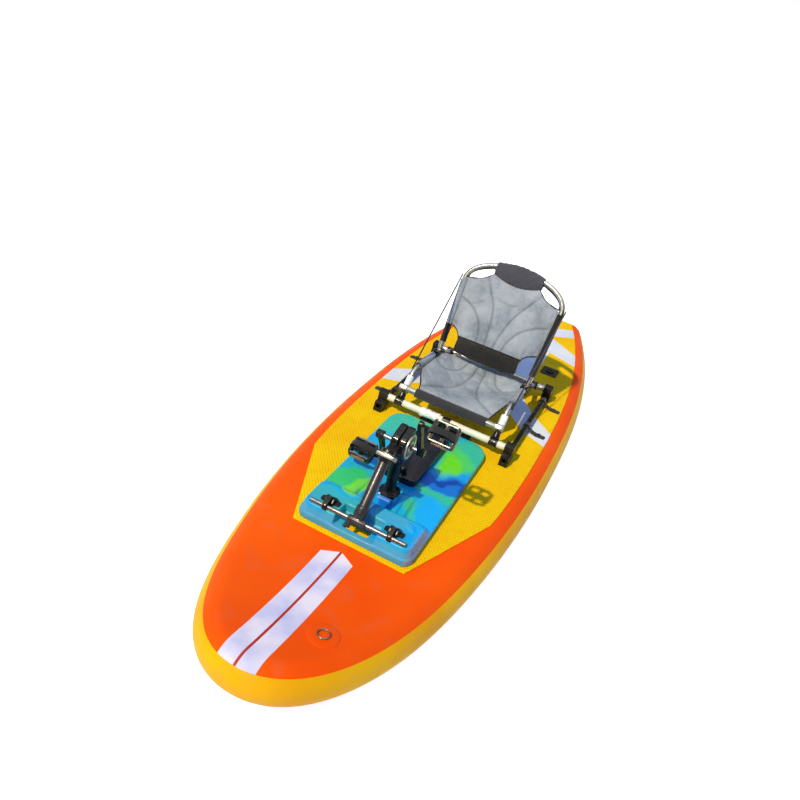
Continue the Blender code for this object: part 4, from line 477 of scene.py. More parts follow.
PATCH_AT = Vector((0.12, -1.16, 0.0))
PATCH_RADIUS = 0.045
RING_RADIUS = 0.0172
RING_WIRE = 0.0022
RING_LIFT = 0.0060


def turned(name, profile, at=(0, 0, 0), axis="Z", steps=48):
    """A piece turned on a lathe from (radius, height) points; the axis may be Z, X or Y."""
    mesh = bmesh.new()
    points = [mesh.verts.new((radius, 0, height)) for radius, height in profile]
    edges = [mesh.edges.new((a, b)) for a, b in zip(points, points[1:])]
    if profile[0][0] > 0 and profile[-1][0] > 0:
        edges.append(mesh.edges.new((points[-1], points[0])))
    bmesh.ops.spin(mesh, geom=points + edges, cent=(0, 0, 0), axis=(0, 0, 1), angle=2 * math.pi, steps=steps,
                   use_merge=True)
    if axis == "X":
        mesh.transform(Matrix.Rotation(math.pi / 2, 4, "Y"))
    elif axis == "Y":
        mesh.transform(Matrix.Rotation(-math.pi / 2, 4, "X"))
    mesh.transform(Matrix.Translation(at))
    return new_piece(name, mesh)


def soft_profile(profile, radius):
    """The profile with each outer corner cut to a small round of this radius."""
    points = []
    for i, (r, h) in enumerate(profile):
        if r == 0 or i in (0, len(profile) - 1):
            points.append((r, h))
            continue
        here = Vector((r, h))
        before = (Vector(profile[i - 1]) - here)
        after = (Vector(profile[i + 1]) - here)
        cut = min(radius, before.length * 0.45, after.length * 0.45)
        start = here + before.normalized() * cut
        end = here + after.normalized() * cut
        for t in (0.0, 0.33, 0.67, 1.0):
            point = start * (1 - t) ** 2 + here * 2 * t * (1 - t) + end * t ** 2
            points.append((point.x, point.y))
    return points


def on_bow(piece):
    for vertex in piece.data.vertices:
        vertex.co.z += rocker(vertex.co.y)


disc = soft_profile([(0, DECK - 0.001), (PATCH_RADIUS, DECK - 0.001), (PATCH_RADIUS, DECK + 0.0016),
                     (0.030, DECK + 0.0024), (0, DECK + 0.0030)], 0.0012)
patch = turned("bow_patch", disc, PATCH_AT)
on_bow(patch)
smooth(patch, 40)
fasten(patch, ORANGE_CLOTH, "root", "orange_hull_fabric")
RING_STEEL = begin("ring_steel", paint(150, 150, 152), 0.28, 1.0)[0]
ring_profile = [(RING_RADIUS + RING_WIRE * math.cos(a), DECK + RING_LIFT + RING_WIRE * math.sin(a))
                for a in (2 * math.pi * i / 12 for i in range(12))]
tow_ring = turned("tow_ring", ring_profile, PATCH_AT)
on_bow(tow_ring)
smooth(tow_ring, 60)
fasten(tow_ring, RING_STEEL, "root", "plain_steel")

# Rail band: a second layer of yellow fabric, glued round the rail from the deck's shoulder nearly to
# the bottom, with a narrow dark tape over the seam in its lower part, dark partly as painted shade.

BAND_SPAN = (2 / 8, 7 / 8)
BAND_THICKNESS = 0.0012
BAND_LIFT = 0.0003
TAPE_MIDDLE = 0.80
TAPE_WIDTH = 0.05
TAPE_THICKNESS = 0.0019


def rail_strip(name, start, end, low_reach, high_reach, steps):
    """A band round the rail, between two shares of its half circle, with this much thickness."""
    mesh = bmesh.new()
    loops = []
    for (x, y), out in board_ring():
        loop = []
        shares = spaced(start, end, steps)
        for inner, row in ((True, shares), (False, list(reversed(shares)))):
            for k, share in enumerate(row):
                angle = math.pi * share
                rim = k in (0, steps) and not inner
                extra = low_reach if inner else high_reach * (0.45 if rim else 1.0)
                radius = RAIL_ROUND + extra
                reach = radius * math.sin(angle)
                height = RAIL_ROUND + radius * math.cos(angle)
                loop.append(mesh.verts.new((x + out.x * reach, y + out.y * reach, height)))
        loops.append(loop)
    skin(mesh, loops, True, True)
    for vertex in mesh.verts:
        vertex.co.z += rocker(vertex.co.y)
    made = new_piece(name, mesh)
    smooth(made, 50)
    return made


YELLOW_CLOTH = coated_cloth("yellow_rail_cloth", paint(247, 190, 10), paint(232, 160, 6), 0.4, 0.35, 0.35)
band = rail_strip("rail_band_cloth", *BAND_SPAN, -0.0006, BAND_LIFT + BAND_THICKNESS, 20)
fasten(band, YELLOW_CLOTH, "root", "yellow_rail_fabric", "rail_band")
# Painted shade: the tape's dark olive is partly the rail's underside in shadow, partly its dark lettering.
SEAM_TAPE_AND_SHADE_CLOTH = coated_cloth("dark_seam_tape_and_shade", paint(92, 84, 40), paint(70, 66, 36), 0.5, 0.2, 0.3)
tape = rail_strip("lower_seam_tape_and_shade", TAPE_MIDDLE - TAPE_WIDTH / 2, TAPE_MIDDLE + TAPE_WIDTH / 2, BAND_LIFT,
                  BAND_LIFT + TAPE_THICKNESS, 5)
fasten(tape, SEAM_TAPE_AND_SHADE_CLOTH, "root", "yellow_rail_fabric")

# Deck pad: closed-cell foam sheet glued to the deck, yellow with white bands let in, and pressed all
# over with a diamond grip pattern. Its edges are cut with a small round.

PAD_BASE = DECK + 0.0003
PAD_TOP = 0.1553
PAD_FRONT = (0.193, -0.815)
PAD_SHOULDER = (0.338, -0.45)
PAD_OVERHANG = 0.006
FRONT_WING = ((0.372, 0.108), (0.372, 0.205), (0.256, 0.305), (0.170, 0.420), (0.155, 0.520), (0.075, 0.520),
              (0.090, 0.380), (0.176, 0.240), (0.262, 0.152))
REAR_WING = ((0.155, 0.524), (0.162, 0.569), (0.154, 0.912), (0.345, 0.846), (0.345, 0.925), (0.121, 1.077),
             (0.070, 1.000), (0.070, 0.660), (0.075, 0.524))
STERN_BAND = ((0.0, 1.010), (0.262, 1.204), (0.262, 1.296), (0.0, 1.140))

right_edge = [PAD_FRONT, PAD_SHOULDER]
for (x, y), out in board_side()[:-1]:
    if y > PAD_SHOULDER[1] + 0.05:
        right_edge.append((x + out.x * PAD_OVERHANG, y + out.y * PAD_OVERHANG))
pad_outline = right_edge + [(-x, y) for x, y in reversed(right_edge)]
pad = prism("foam_deck", pad_outline, PAD_BASE, PAD_TOP)
cut_away(pad, prism("well_cut", WELL_OUTLINE, 0.1, 0.2))
apply_modifier(pad, "BEVEL", width=0.0022, segments=3, limit_method="ANGLE", angle_limit=math.radians(60))
mesh = bmesh.new()
mesh.from_mesh(pad.data)
bands = []
for outline in (FRONT_WING, REAR_WING, STERN_BAND):
    for sign in (-1, 1):
        bands.append([(sign * x, y) for x, y in outline])
for outline in bands:
    for i in range(len(outline)):
        score(mesh, outline[i], outline[(i + 1) % len(outline)])
bmesh.ops.triangulate(mesh, faces=[face for face in mesh.faces if len(face.verts) > 4])
for face in mesh.faces:
    centre = face.calc_center_median()
    if any(inside(outline, centre.x, centre.y) for outline in bands):
        face.material_index = 1
mesh.to_mesh(pad.data)
mesh.free()
smooth(pad, 40)


def grip_group():
    """A diamond grip pattern: Groove is 1 in the grooves and 0 on the pads, and Height the reverse."""
    group, start, end = effect_group("diamond_grip", ["Width", "Length"], ["Height", "Groove"])
    parts = put(group, "ShaderNodeSeparateXYZ", {0: start.outputs["Vector"]})
    across = math_node(group, "DIVIDE", parts.outputs["X"], start.outputs["Width"])
    along = math_node(group, "DIVIDE", parts.outputs["Y"], start.outputs["Length"])
    distances = []
    for operation in ("ADD", "SUBTRACT"):
        line = math_node(group, operation, across, along)
        distances.append(math_node(group, "PINGPONG", line, 0.5))
    nearest = math_node(group, "MINIMUM", distances[0], distances[1])
    groove = ramp(group, nearest, 0.07, 0.15, 1.0, 0.0)
    group.links.new(groove, end.inputs["Groove"])
    group.links.new(math_node(group, "SUBTRACT", 1.0, groove), end.inputs["Height"])
    return group


GRIP = grip_group()


def foam(name, colour, groove_shade_colour, worn_colour):
    made, tree, shader, place = begin(name, colour, 0.82)
    grip = put(tree, "ShaderNodeGroup", {"Vector": place, "Width": 0.0125, "Length": 0.0170}, node_tree=GRIP)
    marks = put(tree, "ShaderNodeGroup", {"Vector": place, "Size": 0.22}, node_tree=PATCHES)
    tone = mixed(tree, ramp(tree, marks.outputs["Patches"], 0.35, 0.7), colour, worn_colour)
    # The darker groove shade colour mottles the foam at random here; below, it is painted shade in the grip's
    # grooves.
    tone = mixed(tree, ramp(tree, marks.outputs["Mottle"], 0.50, 0.85, 0.0, 0.30), tone, groove_shade_colour)
    groove_shaded = mixed(tree, math_node(tree, "MULTIPLY", grip.outputs["Groove"], 0.30), tone, groove_shade_colour)
    tree.links.new(groove_shaded, shader.inputs["Base Color"])
    base = relief(tree, shader, grip.outputs["Height"], 0.0009)
    relief(tree, shader, marks.outputs["Grain"], 0.0002, base)
    shader.inputs["Specular IOR Level"].default_value = 0.12
    return made


YELLOW_FOAM = foam("yellow_deck_foam", paint(255, 212, 0), paint(214, 146, 0), paint(250, 194, 0))
WHITE_FOAM = foam("white_deck_foam", paint(240, 241, 246), paint(186, 192, 208), paint(218, 224, 240))
fasten(pad, (YELLOW_FOAM, WHITE_FOAM), "root", "yellow_deck_foam", "deck_pad")

# Well liner: a stiff black tunnel through the hull for the propeller leg. It is a plain moulding, so
# the CAD piece stays.


def moulded_plastic(name, colour, worn, roughness, grain_size=0.02):
    """Moulded plastic with a fine pebbled grain, and soft random patches of a worn tone."""
    made, tree, shader, place = begin(name, colour, roughness)
    marks = put(tree, "ShaderNodeGroup", {"Vector": place, "Size": grain_size}, node_tree=PATCHES)
    tone = mixed(tree, ramp(tree, marks.outputs["Patches"], 0.45, 0.75, 0.0, 0.6), colour, worn)
    tree.links.new(tone, shader.inputs["Base Color"])
    uneven_gloss(tree, shader, marks, roughness, 0.3, 0.7, -0.08, 0.10)
    relief(tree, shader, marks.outputs["Grain"], 0.00008)
    return made


def edge_wear_group():
    """Rubbed edges: Wear is 1 along outer edges, broken up by noise, found by comparing rounded normals."""
    group, start, end = effect_group("edge_wear", [], ["Wear"])
    soft = put(group, "ShaderNodeBevel", {"Radius": 0.0016}, samples=4)
    plain = put(group, "ShaderNodeNewGeometry")
    alike = put(group, "ShaderNodeVectorMath", {0: soft.outputs["Normal"], 1: plain.outputs["Normal"]},
                operation="DOT_PRODUCT").outputs["Value"]
    edge = ramp(group, alike, 0.995, 0.90)
    spots = put(group, "ShaderNodeTexNoise", {"Vector": start.outputs["Vector"], "Scale": 160.0,
                                              "Detail": 3.0})
    broken = ramp(group, spots.outputs["Fac"], 0.42, 0.62)
    group.links.new(math_node(group, "MULTIPLY", edge, broken), end.inputs["Wear"])
    return group


EDGE_WEAR = edge_wear_group()


def black_moulding(name, colour, bare, roughness, metallic=0.0, grain=0.00006, wear=0.6):
    """Black plastic or anodised alloy with a faint grain and paler rubbed edges."""
    made, tree, shader, place = begin(name, colour, roughness, metallic)
    marks = put(tree, "ShaderNodeGroup", {"Vector": place, "Size": 0.05}, node_tree=PATCHES)
    rub = put(tree, "ShaderNodeGroup", {"Vector": place}, node_tree=EDGE_WEAR)
    faded = mixed(tree, 0.25, colour, bare)
    tone = mixed(tree, ramp(tree, marks.outputs["Patches"], 0.4, 0.7, 0.0, 0.5), colour, faded)
    worn = mixed(tree, math_node(tree, "MULTIPLY", rub.outputs["Wear"], wear), tone, bare)
    tree.links.new(worn, shader.inputs["Base Color"])
    uneven_gloss(tree, shader, marks, roughness, 0.3, 0.7, -0.08, 0.12)
    relief(tree, shader, marks.outputs["Grain"], grain)
    shader.inputs["Specular IOR Level"].default_value = 0.4
    return made


BLACK_PLASTIC = black_moulding("black_plastic", paint(12, 12, 14), paint(70, 72, 78), 0.30)
nodes = frame["nodes"]


def recoat(node, finish):
    """Gives a CAD piece that stays its own finish."""
    nodes[node].data.materials.clear()
    nodes[node].data.materials.append(finish)


recoat("well_liner", BLACK_PLASTIC)


def merged_copy(node, name, join_flat):
    """A bare copy of a CAD piece with its points merged, and its flat faces joined if asked."""
    piece = bpy.data.objects.new(name, nodes[node].data.copy())
    scene.collection.objects.link(piece)
    only(piece)
    bpy.ops.object.mode_set(mode="EDIT")
    bpy.ops.mesh.select_all(action="SELECT")
    bpy.ops.mesh.remove_doubles(threshold=2e-5)
    if join_flat:
        bpy.ops.mesh.dissolve_limited(angle_limit=math.radians(1.0))
    bpy.ops.object.mode_set(mode="OBJECT")
    piece.data.materials.clear()
    return piece


def from_cad(node, name, width=0.0010, segments=2, angle=30, fold=40):
    """A copy of a CAD piece with its edges rounded by this width."""
    piece = merged_copy(node, name, True)
    if width:
        apply_modifier(piece, "BEVEL", width=width, segments=segments, limit_method="ANGLE",
                       angle_limit=math.radians(angle), use_clamp_overlap=True)
    smooth(piece, fold)
    return piece


def dress(node, name, finish, body, slot, width=0.0010, segments=2, angle=30, fold=40):
    """A finished copy of a CAD piece, fastened in the piece's place."""
    fasten(from_cad(node, name, width, segments, angle, fold), finish, body, slot, node)


def cast_again(node, name, voxel, rounds):
    """A copy of a CAD piece remeshed and relaxed, so that all its edges are round as in a soft mould."""
    piece = merged_copy(node, name, False)
    apply_modifier(piece, "REMESH", mode="VOXEL", voxel_size=voxel)
    apply_modifier(piece, "SMOOTH", iterations=rounds, factor=0.5)
    smooth(piece, 60)
    return piece


# Inflation valve: a square black flange over a hole in the deck behind the seat, and a moulded cap
# that locks in it with a quarter turn

dress("valve_body", "valve_flange", BLACK_PLASTIC, "root", "black_plastic", 0.0012, 3)
dress("valve_cap", "valve_lid", BLACK_PLASTIC, "valve_cap", "black_plastic", 0.0008, 3)

# Drive plate: rotation-moulded tray of blue, green and cyan plastic that was marbled in the mould, with
# soft round edges. Shoes and stones have scuffed its corners.

# The plate's colours also carry a painted shadow of the right crank and pedal, and painted shade in its front
# trough.
plate = cast_again("drive_plate", "marbled_plate", 0.0030, 5)

# Where each colour lies on the plate: middle, half length and half width, colour, and how strong it is
MARBLING_AND_SHADE = (((-0.14, -0.13), (0.14, 0.12), (62, 190, 160), 0.9),
            ((0.17, -0.17), (0.12, 0.14), (50, 184, 150), 0.95),
            ((0.12, -0.24), (0.07, 0.07), (76, 205, 90), 0.9),
            ((0.115, -0.285), (0.055, 0.036), (104, 216, 14), 0.95),
            ((-0.06, -0.10), (0.03, 0.06), (90, 200, 120), 0.7),
            # Painted shadow: the right crank and pedal's shadow, a dark blue band across the plate.
            ((0.13, -0.385), (0.040, 0.12), (0, 104, 205), 0.9),
            ((-0.09, -0.42), (0.08, 0.12), (12, 160, 224), 0.7),
            ((-0.15, -0.56), (0.07, 0.06), (56, 200, 96), 0.9),
            ((-0.085, -0.60), (0.07, 0.03), (120, 222, 20), 0.9),
            ((0.12, -0.455), (0.035, 0.07), (52, 190, 130), 0.8),
            ((0.095, -0.575), (0.045, 0.03), (64, 196, 110), 0.75),
            # Painted shade: dark blue in the trough along the middle of the plate's front.
            ((0.0, -0.64), (0.11, 0.034), (0, 92, 190), 0.85),
            ((0.16, -0.60), (0.12, 0.05), (0, 172, 248), 0.9),
            ((-0.11, -0.73), (0.05, 0.10), (60, 176, 180), 0.8),
            ((0.07, -0.70), (0.05, 0.08), (84, 176, 200), 0.6))


def marbled_plastic():
    """Swirled plastic: soft tongues of colour at their places, two of them painted shade, bent by noise, and
    scuffed edges.
    """
    made, tree, shader, place = begin("marbled_plastic", paint(30, 165, 205), 0.30)
    swirl = put(tree, "ShaderNodeTexNoise", {"Vector": place, "Scale": 7.0, "Detail": 2.5})
    shift = put(tree, "ShaderNodeVectorMath", {0: swirl.outputs["Color"], 1: (0.5, 0.5, 0.5)},
                operation="SUBTRACT")
    bent = put(tree, "ShaderNodeVectorMath", {0: shift.outputs[0], 1: (0.16, 0.16, 0.0), 2: place},
               operation="MULTIPLY_ADD")
    flat = put(tree, "ShaderNodeVectorMath", {0: bent.outputs[0], 1: (1, 1, 0)}, operation="MULTIPLY")
    clouds = put(tree, "ShaderNodeTexNoise", {"Vector": bent.outputs[0], "Scale": 9.0, "Detail": 3.0})
    tone = mixed(tree, ramp(tree, clouds.outputs["Fac"], 0.42, 0.62), paint(8, 158, 226), paint(26, 184, 214))
    for (x, y), (long, wide), colour, strength in MARBLING_AND_SHADE:
        offset = put(tree, "ShaderNodeVectorMath", {0: flat.outputs[0], 1: (x, y, 0)}, operation="SUBTRACT")
        scaled = put(tree, "ShaderNodeVectorMath", {0: offset.outputs[0], 1: (1 / wide, 1 / long, 0)},
                     operation="MULTIPLY")
        away = put(tree, "ShaderNodeVectorMath", {0: scaled.outputs[0]}, operation="LENGTH").outputs["Value"]
        tone = mixed(tree, ramp(tree, away, 1.15, 0.70, 0.0, strength), tone, paint(*colour))
    parts = put(tree, "ShaderNodeSeparateXYZ", {0: place})
    low = ramp(tree, parts.outputs["Z"], 0.206, 0.196)
    front = math_node(tree, "MULTIPLY", ramp(tree, parts.outputs["Y"], -0.765, -0.785), low)
    calm = mixed(tree, math_node(tree, "MULTIPLY", front, 0.72), tone, paint(84, 158, 190))
    marks = put(tree, "ShaderNodeGroup", {"Vector": place, "Size": 0.05}, node_tree=PATCHES)
    rub = put(tree, "ShaderNodeGroup", {"Vector": place}, node_tree=EDGE_WEAR)
    scuff = math_node(tree, "MULTIPLY", rub.outputs["Wear"], 0.35)
    side = ramp(tree, parts.outputs["X"], 0.172, 0.186)
    near = ramp(tree, parts.outputs["Y"], -0.62, -0.68)
    chalk = math_node(tree, "MULTIPLY", math_node(tree, "MULTIPLY", side, near),
                      ramp(tree, marks.outputs["Mottle"], 0.36, 0.52))
    worn = math_node(tree, "MAXIMUM", scuff, math_node(tree, "MULTIPLY", chalk, 0.75))
    scuffed = mixed(tree, worn, calm, paint(150, 146, 142))
    dirty = mixed(tree, ramp(tree, marks.outputs["Patches"], 0.58, 0.80, 0.0, 0.20), scuffed,
                  paint(14, 96, 120))
    tree.links.new(dirty, shader.inputs["Base Color"])
    uneven_gloss(tree, shader, marks, 0.28, 0.35, 0.65, -0.05, 0.12)
    base = relief(tree, shader, marks.outputs["Mottle"], 0.0003)
    relief(tree, shader, marks.outputs["Grain"], 0.00005, base)
    shader.inputs["Specular IOR Level"].default_value = 0.3
    return made


fasten(plate, marbled_plastic(), "root", "blue_green_moulding", "drive_plate")

# Trunk cover: a moulded lid over the slot that the leg folds through, nearly black, with a round knob
# and raised strips. It lies on the drive plate behind the column.

SLATE_PLASTIC = black_moulding("slate_plastic", paint(8, 11, 26), paint(70, 80, 110), 0.20)
dress("trunk_cover", "slot_cover", SLATE_PLASTIC, "root", "black_plastic", 0.0016, 3)

# Cross rod and its two latches: a steel rod lies across the front of the drive plate, and a hooked
# black lever on each side clips over it. Each base is held by two screws.


def brushed_metal(name, colour, roughness):
    """Drawn or turned metal with fine streaks across the board, and small dull spots."""
    made, tree, shader, place = begin(name, colour, roughness, 1.0)
    lines = put(tree, "ShaderNodeMapping", {"Vector": place, "Scale": (14.0, 900.0, 900.0)})
    streaks = put(tree, "ShaderNodeTexNoise", {"Vector": lines.outputs[0], "Scale": 1.0, "Detail": 2.0})
    marks = put(tree, "ShaderNodeGroup", {"Vector": place, "Size": 0.06}, node_tree=PATCHES)
    dull = tuple(part * 0.75 for part in colour[:3]) + (1.0,)
    tone = mixed(tree, ramp(tree, marks.outputs["Mottle"], 0.42, 0.70), colour, dull)
    tree.links.new(tone, shader.inputs["Base Color"])
    rough = ramp(tree, streaks.outputs["Fac"], 0.3, 0.7, roughness - 0.07, roughness + 0.10)
    tree.links.new(rough, shader.inputs["Roughness"])
    relief(tree, shader, streaks.outputs["Fac"], 0.00002)
    return made


STEEL = brushed_metal("drawn_steel", paint(138, 140, 146), 0.36)
ALLOY = brushed_metal("bright_alloy", paint(186, 188, 192), 0.34)
ROD_Y = -0.7746
ROD_Z = 0.2193
ROD_RADIUS = 0.0070
ROD_REACH = 0.1645
rod_profile = [(0, -ROD_REACH), (ROD_RADIUS, -ROD_REACH), (ROD_RADIUS, ROD_REACH), (0, ROD_REACH)]
rod = turned("cross_rod_bar", soft_profile(rod_profile, 0.0010), (0, ROD_Y, ROD_Z), "X", 32)
smooth(rod, 40)
fasten(rod, STEEL, "root", "plain_steel", "cross_rod")
for side in ("left", "right"):
    dress(f"latch_base_{side}", f"latch_foot_{side}", BLACK_PLASTIC, "root", "black_plastic", 0.0007, 2)
    dress(f"latch_lever_{side}", f"latch_hook_{side}", BLACK_PLASTIC, f"{side}_latch", "black_plastic",
          0.0007, 2)

# Pole and head clamp: a dark grey tube stands on the rod and props up the gear case. A black clamp
# holds its head, closed by a bright cam lever.

GREY_TUBE = black_moulding("dark_grey_tube", paint(66, 65, 72), paint(140, 140, 148), 0.30, 0.6, 0.00002, 0.4)
dress("support_pole", "pole_tube", GREY_TUBE, "root", "dark_grey_tube", 0.0006, 2, 40, 50)
dress("head_clamp", "pole_clamp", BLACK_PLASTIC, "root", "black_plastic", 0.0012, 2)
dress("cam_lever", "cam_handle", ALLOY, "cam", "bright_alloy", 0.0006, 2)

# Gear case: two black cup shells screwed together round the crank's bevel gear. A turned alloy disc
# closes the right one, with a black plate let into its face.

CRANK_Y = -0.54
CRANK_Z = 0.378
PLATE_BORE = 0.0145
PLATE_RIM = 0.0330
PLATE_BEVEL = 0.0030
PLATE_BACK = 0.0052
PLATE_EDGE = 0.0040
PLATE_FACE = 0.0030
GLOSS_BLACK = black_moulding("gloss_black_case", paint(7, 8, 16), paint(60, 64, 84), 0.16)
for side in ("left", "right"):
    shell = cast_again(f"gear_case_{side}", f"case_shell_{side}", 0.0013, 60)
    fasten(shell, GLOSS_BLACK, "root", "black_plastic", f"gear_case_{side}")
dress("side_cover", "case_disc", ALLOY, "root", "bright_alloy", 0.0006, 2)
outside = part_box("side_cover")[1][0]
plate_profile = [(PLATE_BORE, outside - PLATE_BACK), (PLATE_RIM, outside - PLATE_BACK),
                 (PLATE_RIM, outside - PLATE_EDGE), (PLATE_RIM - PLATE_BEVEL, outside - PLATE_FACE),
                 (PLATE_BORE, outside - PLATE_FACE)]
hub = turned("case_disc_plate", soft_profile(plate_profile, 0.0006), (0, CRANK_Y, CRANK_Z), "X", 64)
smooth(hub, 40)
fasten(hub, GLOSS_BLACK, "root", "black_plastic")

# Crankset: a steel spindle with its gear, and a forged black crank on each end. The pedals have black
# cages with thin steel strips, amber reflectors and woven toe straps.

CRANK_LENGTH = 0.150
CRANK_LEAN = math.radians(24)
PEDAL_X = 0.143
PEDAL_DEPTH = 0.035
PEDAL_THICK = 0.012
PEDAL_TILT = {"left": math.radians(20), "right": math.radians(40)}
LENS_THICKNESS = 0.0016
STRIP_THICKNESS = 0.0009


def reflector_lens():
    """Moulded amber lens: small prisms behind a smooth face break the light into bright and dark cells."""
    made, tree, shader, place = begin("amber_lens", paint(188, 118, 38), 0.18)
    cells = put(tree, "ShaderNodeTexVoronoi", {"Vector": place, "Scale": 420.0})
    shade = ramp(tree, cells.outputs["Distance"], 0.0, 0.7)
    tone = mixed(tree, shade, paint(214, 150, 70), paint(140, 78, 20))
    tree.links.new(tone, shader.inputs["Base Color"])
    relief(tree, shader, cells.outputs["Distance"], 0.0003)
    shader.inputs["Coat Weight"].default_value = 0.6
    return made


AMBER = reflector_lens()
BLACK_ALLOY = black_moulding("black_alloy", paint(14, 14, 16), paint(110, 110, 118), 0.22, 0.5)
recoat("crank_spindle", STEEL)
for side in ("left", "right"):
    dress(f"crank_arm_{side}", f"crank_{side}", BLACK_ALLOY, "crankset", "black_alloy", 0.0016, 3)
    dress(f"pedal_{side}", f"pedal_cage_{side}", BLACK_PLASTIC, f"{side}_pedal", "black_plastic", 0.0008, 2)
    sign = 1 if side == "right" else -1
    lean = CRANK_LEAN + (0 if side == "right" else math.pi)
    middle = Vector((sign * PEDAL_X, CRANK_Y - CRANK_LENGTH * math.sin(lean),
                     CRANK_Z + CRANK_LENGTH * math.cos(lean)))
    held = Matrix.Translation(middle) @ Matrix.Rotation(PEDAL_TILT[side], 4, "X")
    for way, end in ((-1, "front"), (1, "rear")):
        lens_edge = rounded_rectangle((-0.0255, -0.0075), (0.0255, 0.0075), 0.0025, 4)
        lamp = prism(f"pedal_lens_{end}_{side}", lens_edge, 0.0, LENS_THICKNESS)
        outer_face = Matrix.Translation((0, way * (PEDAL_DEPTH + 0.0030), 0))
        lamp.data.transform(held @ outer_face @ Matrix.Rotation(-way * math.pi / 2, 4, "X"))
        apply_modifier(lamp, "BEVEL", width=0.0005, segments=2, limit_method="ANGLE")
        smooth(lamp, 40)
        fasten(lamp, AMBER, f"{side}_pedal", "black_plastic")
        for face in (-1, 1):
            strip_edge = rounded_rectangle((-0.034, -0.0016), (0.034, 0.0016), 0.0012, 3)
            strip = prism(f"pedal_strip_{end}_{'top' if face > 0 else 'under'}_{side}", strip_edge, 0.0,
                          STRIP_THICKNESS)
            lift = PEDAL_THICK if face > 0 else -PEDAL_THICK - STRIP_THICKNESS
            strip.data.transform(held @ Matrix.Translation((0, way * (PEDAL_DEPTH - 0.0030), lift)))
            fasten(strip, STEEL, f"{side}_pedal", "plain_steel")


def woven_tape(name, colour, gap_colour, threads=700.0, roughness=0.85):
    """Flat woven tape: ribs of thread with darker gaps, and a soft sheen."""
    made, tree, shader, place = begin(name, colour, roughness)
    cloth = put(tree, "ShaderNodeGroup", {"Vector": place, "Threads per metre": threads}, node_tree=WEAVE)
    marks = put(tree, "ShaderNodeGroup", {"Vector": place, "Size": 0.08}, node_tree=PATCHES)
    tone = mixed(tree, cloth.outputs["Height"], gap_colour, colour)
    tone = mixed(tree, ramp(tree, marks.outputs["Patches"], 0.45, 0.75, 0.0, 0.4), tone, gap_colour)
    tree.links.new(tone, shader.inputs["Base Color"])
    base = relief(tree, shader, cloth.outputs["Height"], 0.00025)
    relief(tree, shader, marks.outputs["Mottle"], 0.0008, base)
    shader.inputs["Sheen Weight"].default_value = 0.25
    return made


WEBBING = woven_tape("black_webbing", paint(30, 30, 34), paint(12, 12, 14))
for side in ("left", "right"):
    dress(f"toe_strap_{side}", f"toe_band_{side}", WEBBING, f"{side}_pedal", "black_webbing", 0.0004, 2)

# Drive column and leg: black castings that carry the steel shafts down through the board, and a
# moulded two-bladed propeller at the foot of the leg

dress("drive_column", "column_casting", BLACK_ALLOY, "root", "black_alloy", 0.0010, 2)
recoat("upper_shaft", STEEL)
dress("leg_shell", "leg_casting", BLACK_PLASTIC, "leg", "black_plastic", 0.0010, 2)
recoat("pod_cap", BLACK_PLASTIC)
recoat("lower_shaft", STEEL)
recoat("prop_shaft", STEEL)
dress("propeller", "propeller_blades", BLACK_PLASTIC, "prop", "black_plastic", 0.0, 2, 30, 60)

# Seat base: two black anodised rails along the deck, held at their ends by moulded clamps that stand
# on the foam

for side in ("left", "right"):
    dress(f"seat_rail_{side}", f"rail_tube_{side}", BLACK_ALLOY, "root", "black_alloy", 0.0, 2, 30, 50)
    for end in ("front", "rear"):
        dress(f"corner_clamp_{end}_{side}", f"corner_block_{end}_{side}", BLACK_PLASTIC, "root",
              "black_plastic", 0.0014, 3)

# Crossbars: a cream-white tube in front, a bright one behind, each with two dark collars whose sockets
# hold the seat's legs. White tape is wrapped and crumpled round the front bar's left half.

BAR_RADIUS = 0.0135
BAR_REACH = 0.271
COLLAR_RADIUS = 0.0177
BAR_Z = 0.2075
FRONT_BAR_Y = -0.073
REAR_BAR_Y = 0.455
WRAP_START = -0.104
WRAP_END = -0.026
TUBE_RADIUS = 0.010
SOCKET_LENGTH = 0.036
SIDE_X = 0.197
LEG_TOP = Vector((0, 0.020, 0.315))
FRONT_FOOT = Vector((0, FRONT_BAR_Y, BAR_Z))
REAR_FOOT = Vector((0, REAR_BAR_Y, BAR_Z))
REAR_HEAD = Vector((0, 0.290, 0.2745))


def between(name, start, end, profile):
    """A turned piece whose profile, as (radius, distance) points, runs from one point towards another."""
    made = turned(name, profile, (0, 0, 0), "Z", 32)
    way = (Vector(end) - Vector(start)).normalized()
    made.data.transform(Matrix.Translation(start) @ way.to_track_quat("Z", "Y").to_matrix().to_4x4())
    smooth(made, 40)
    return made


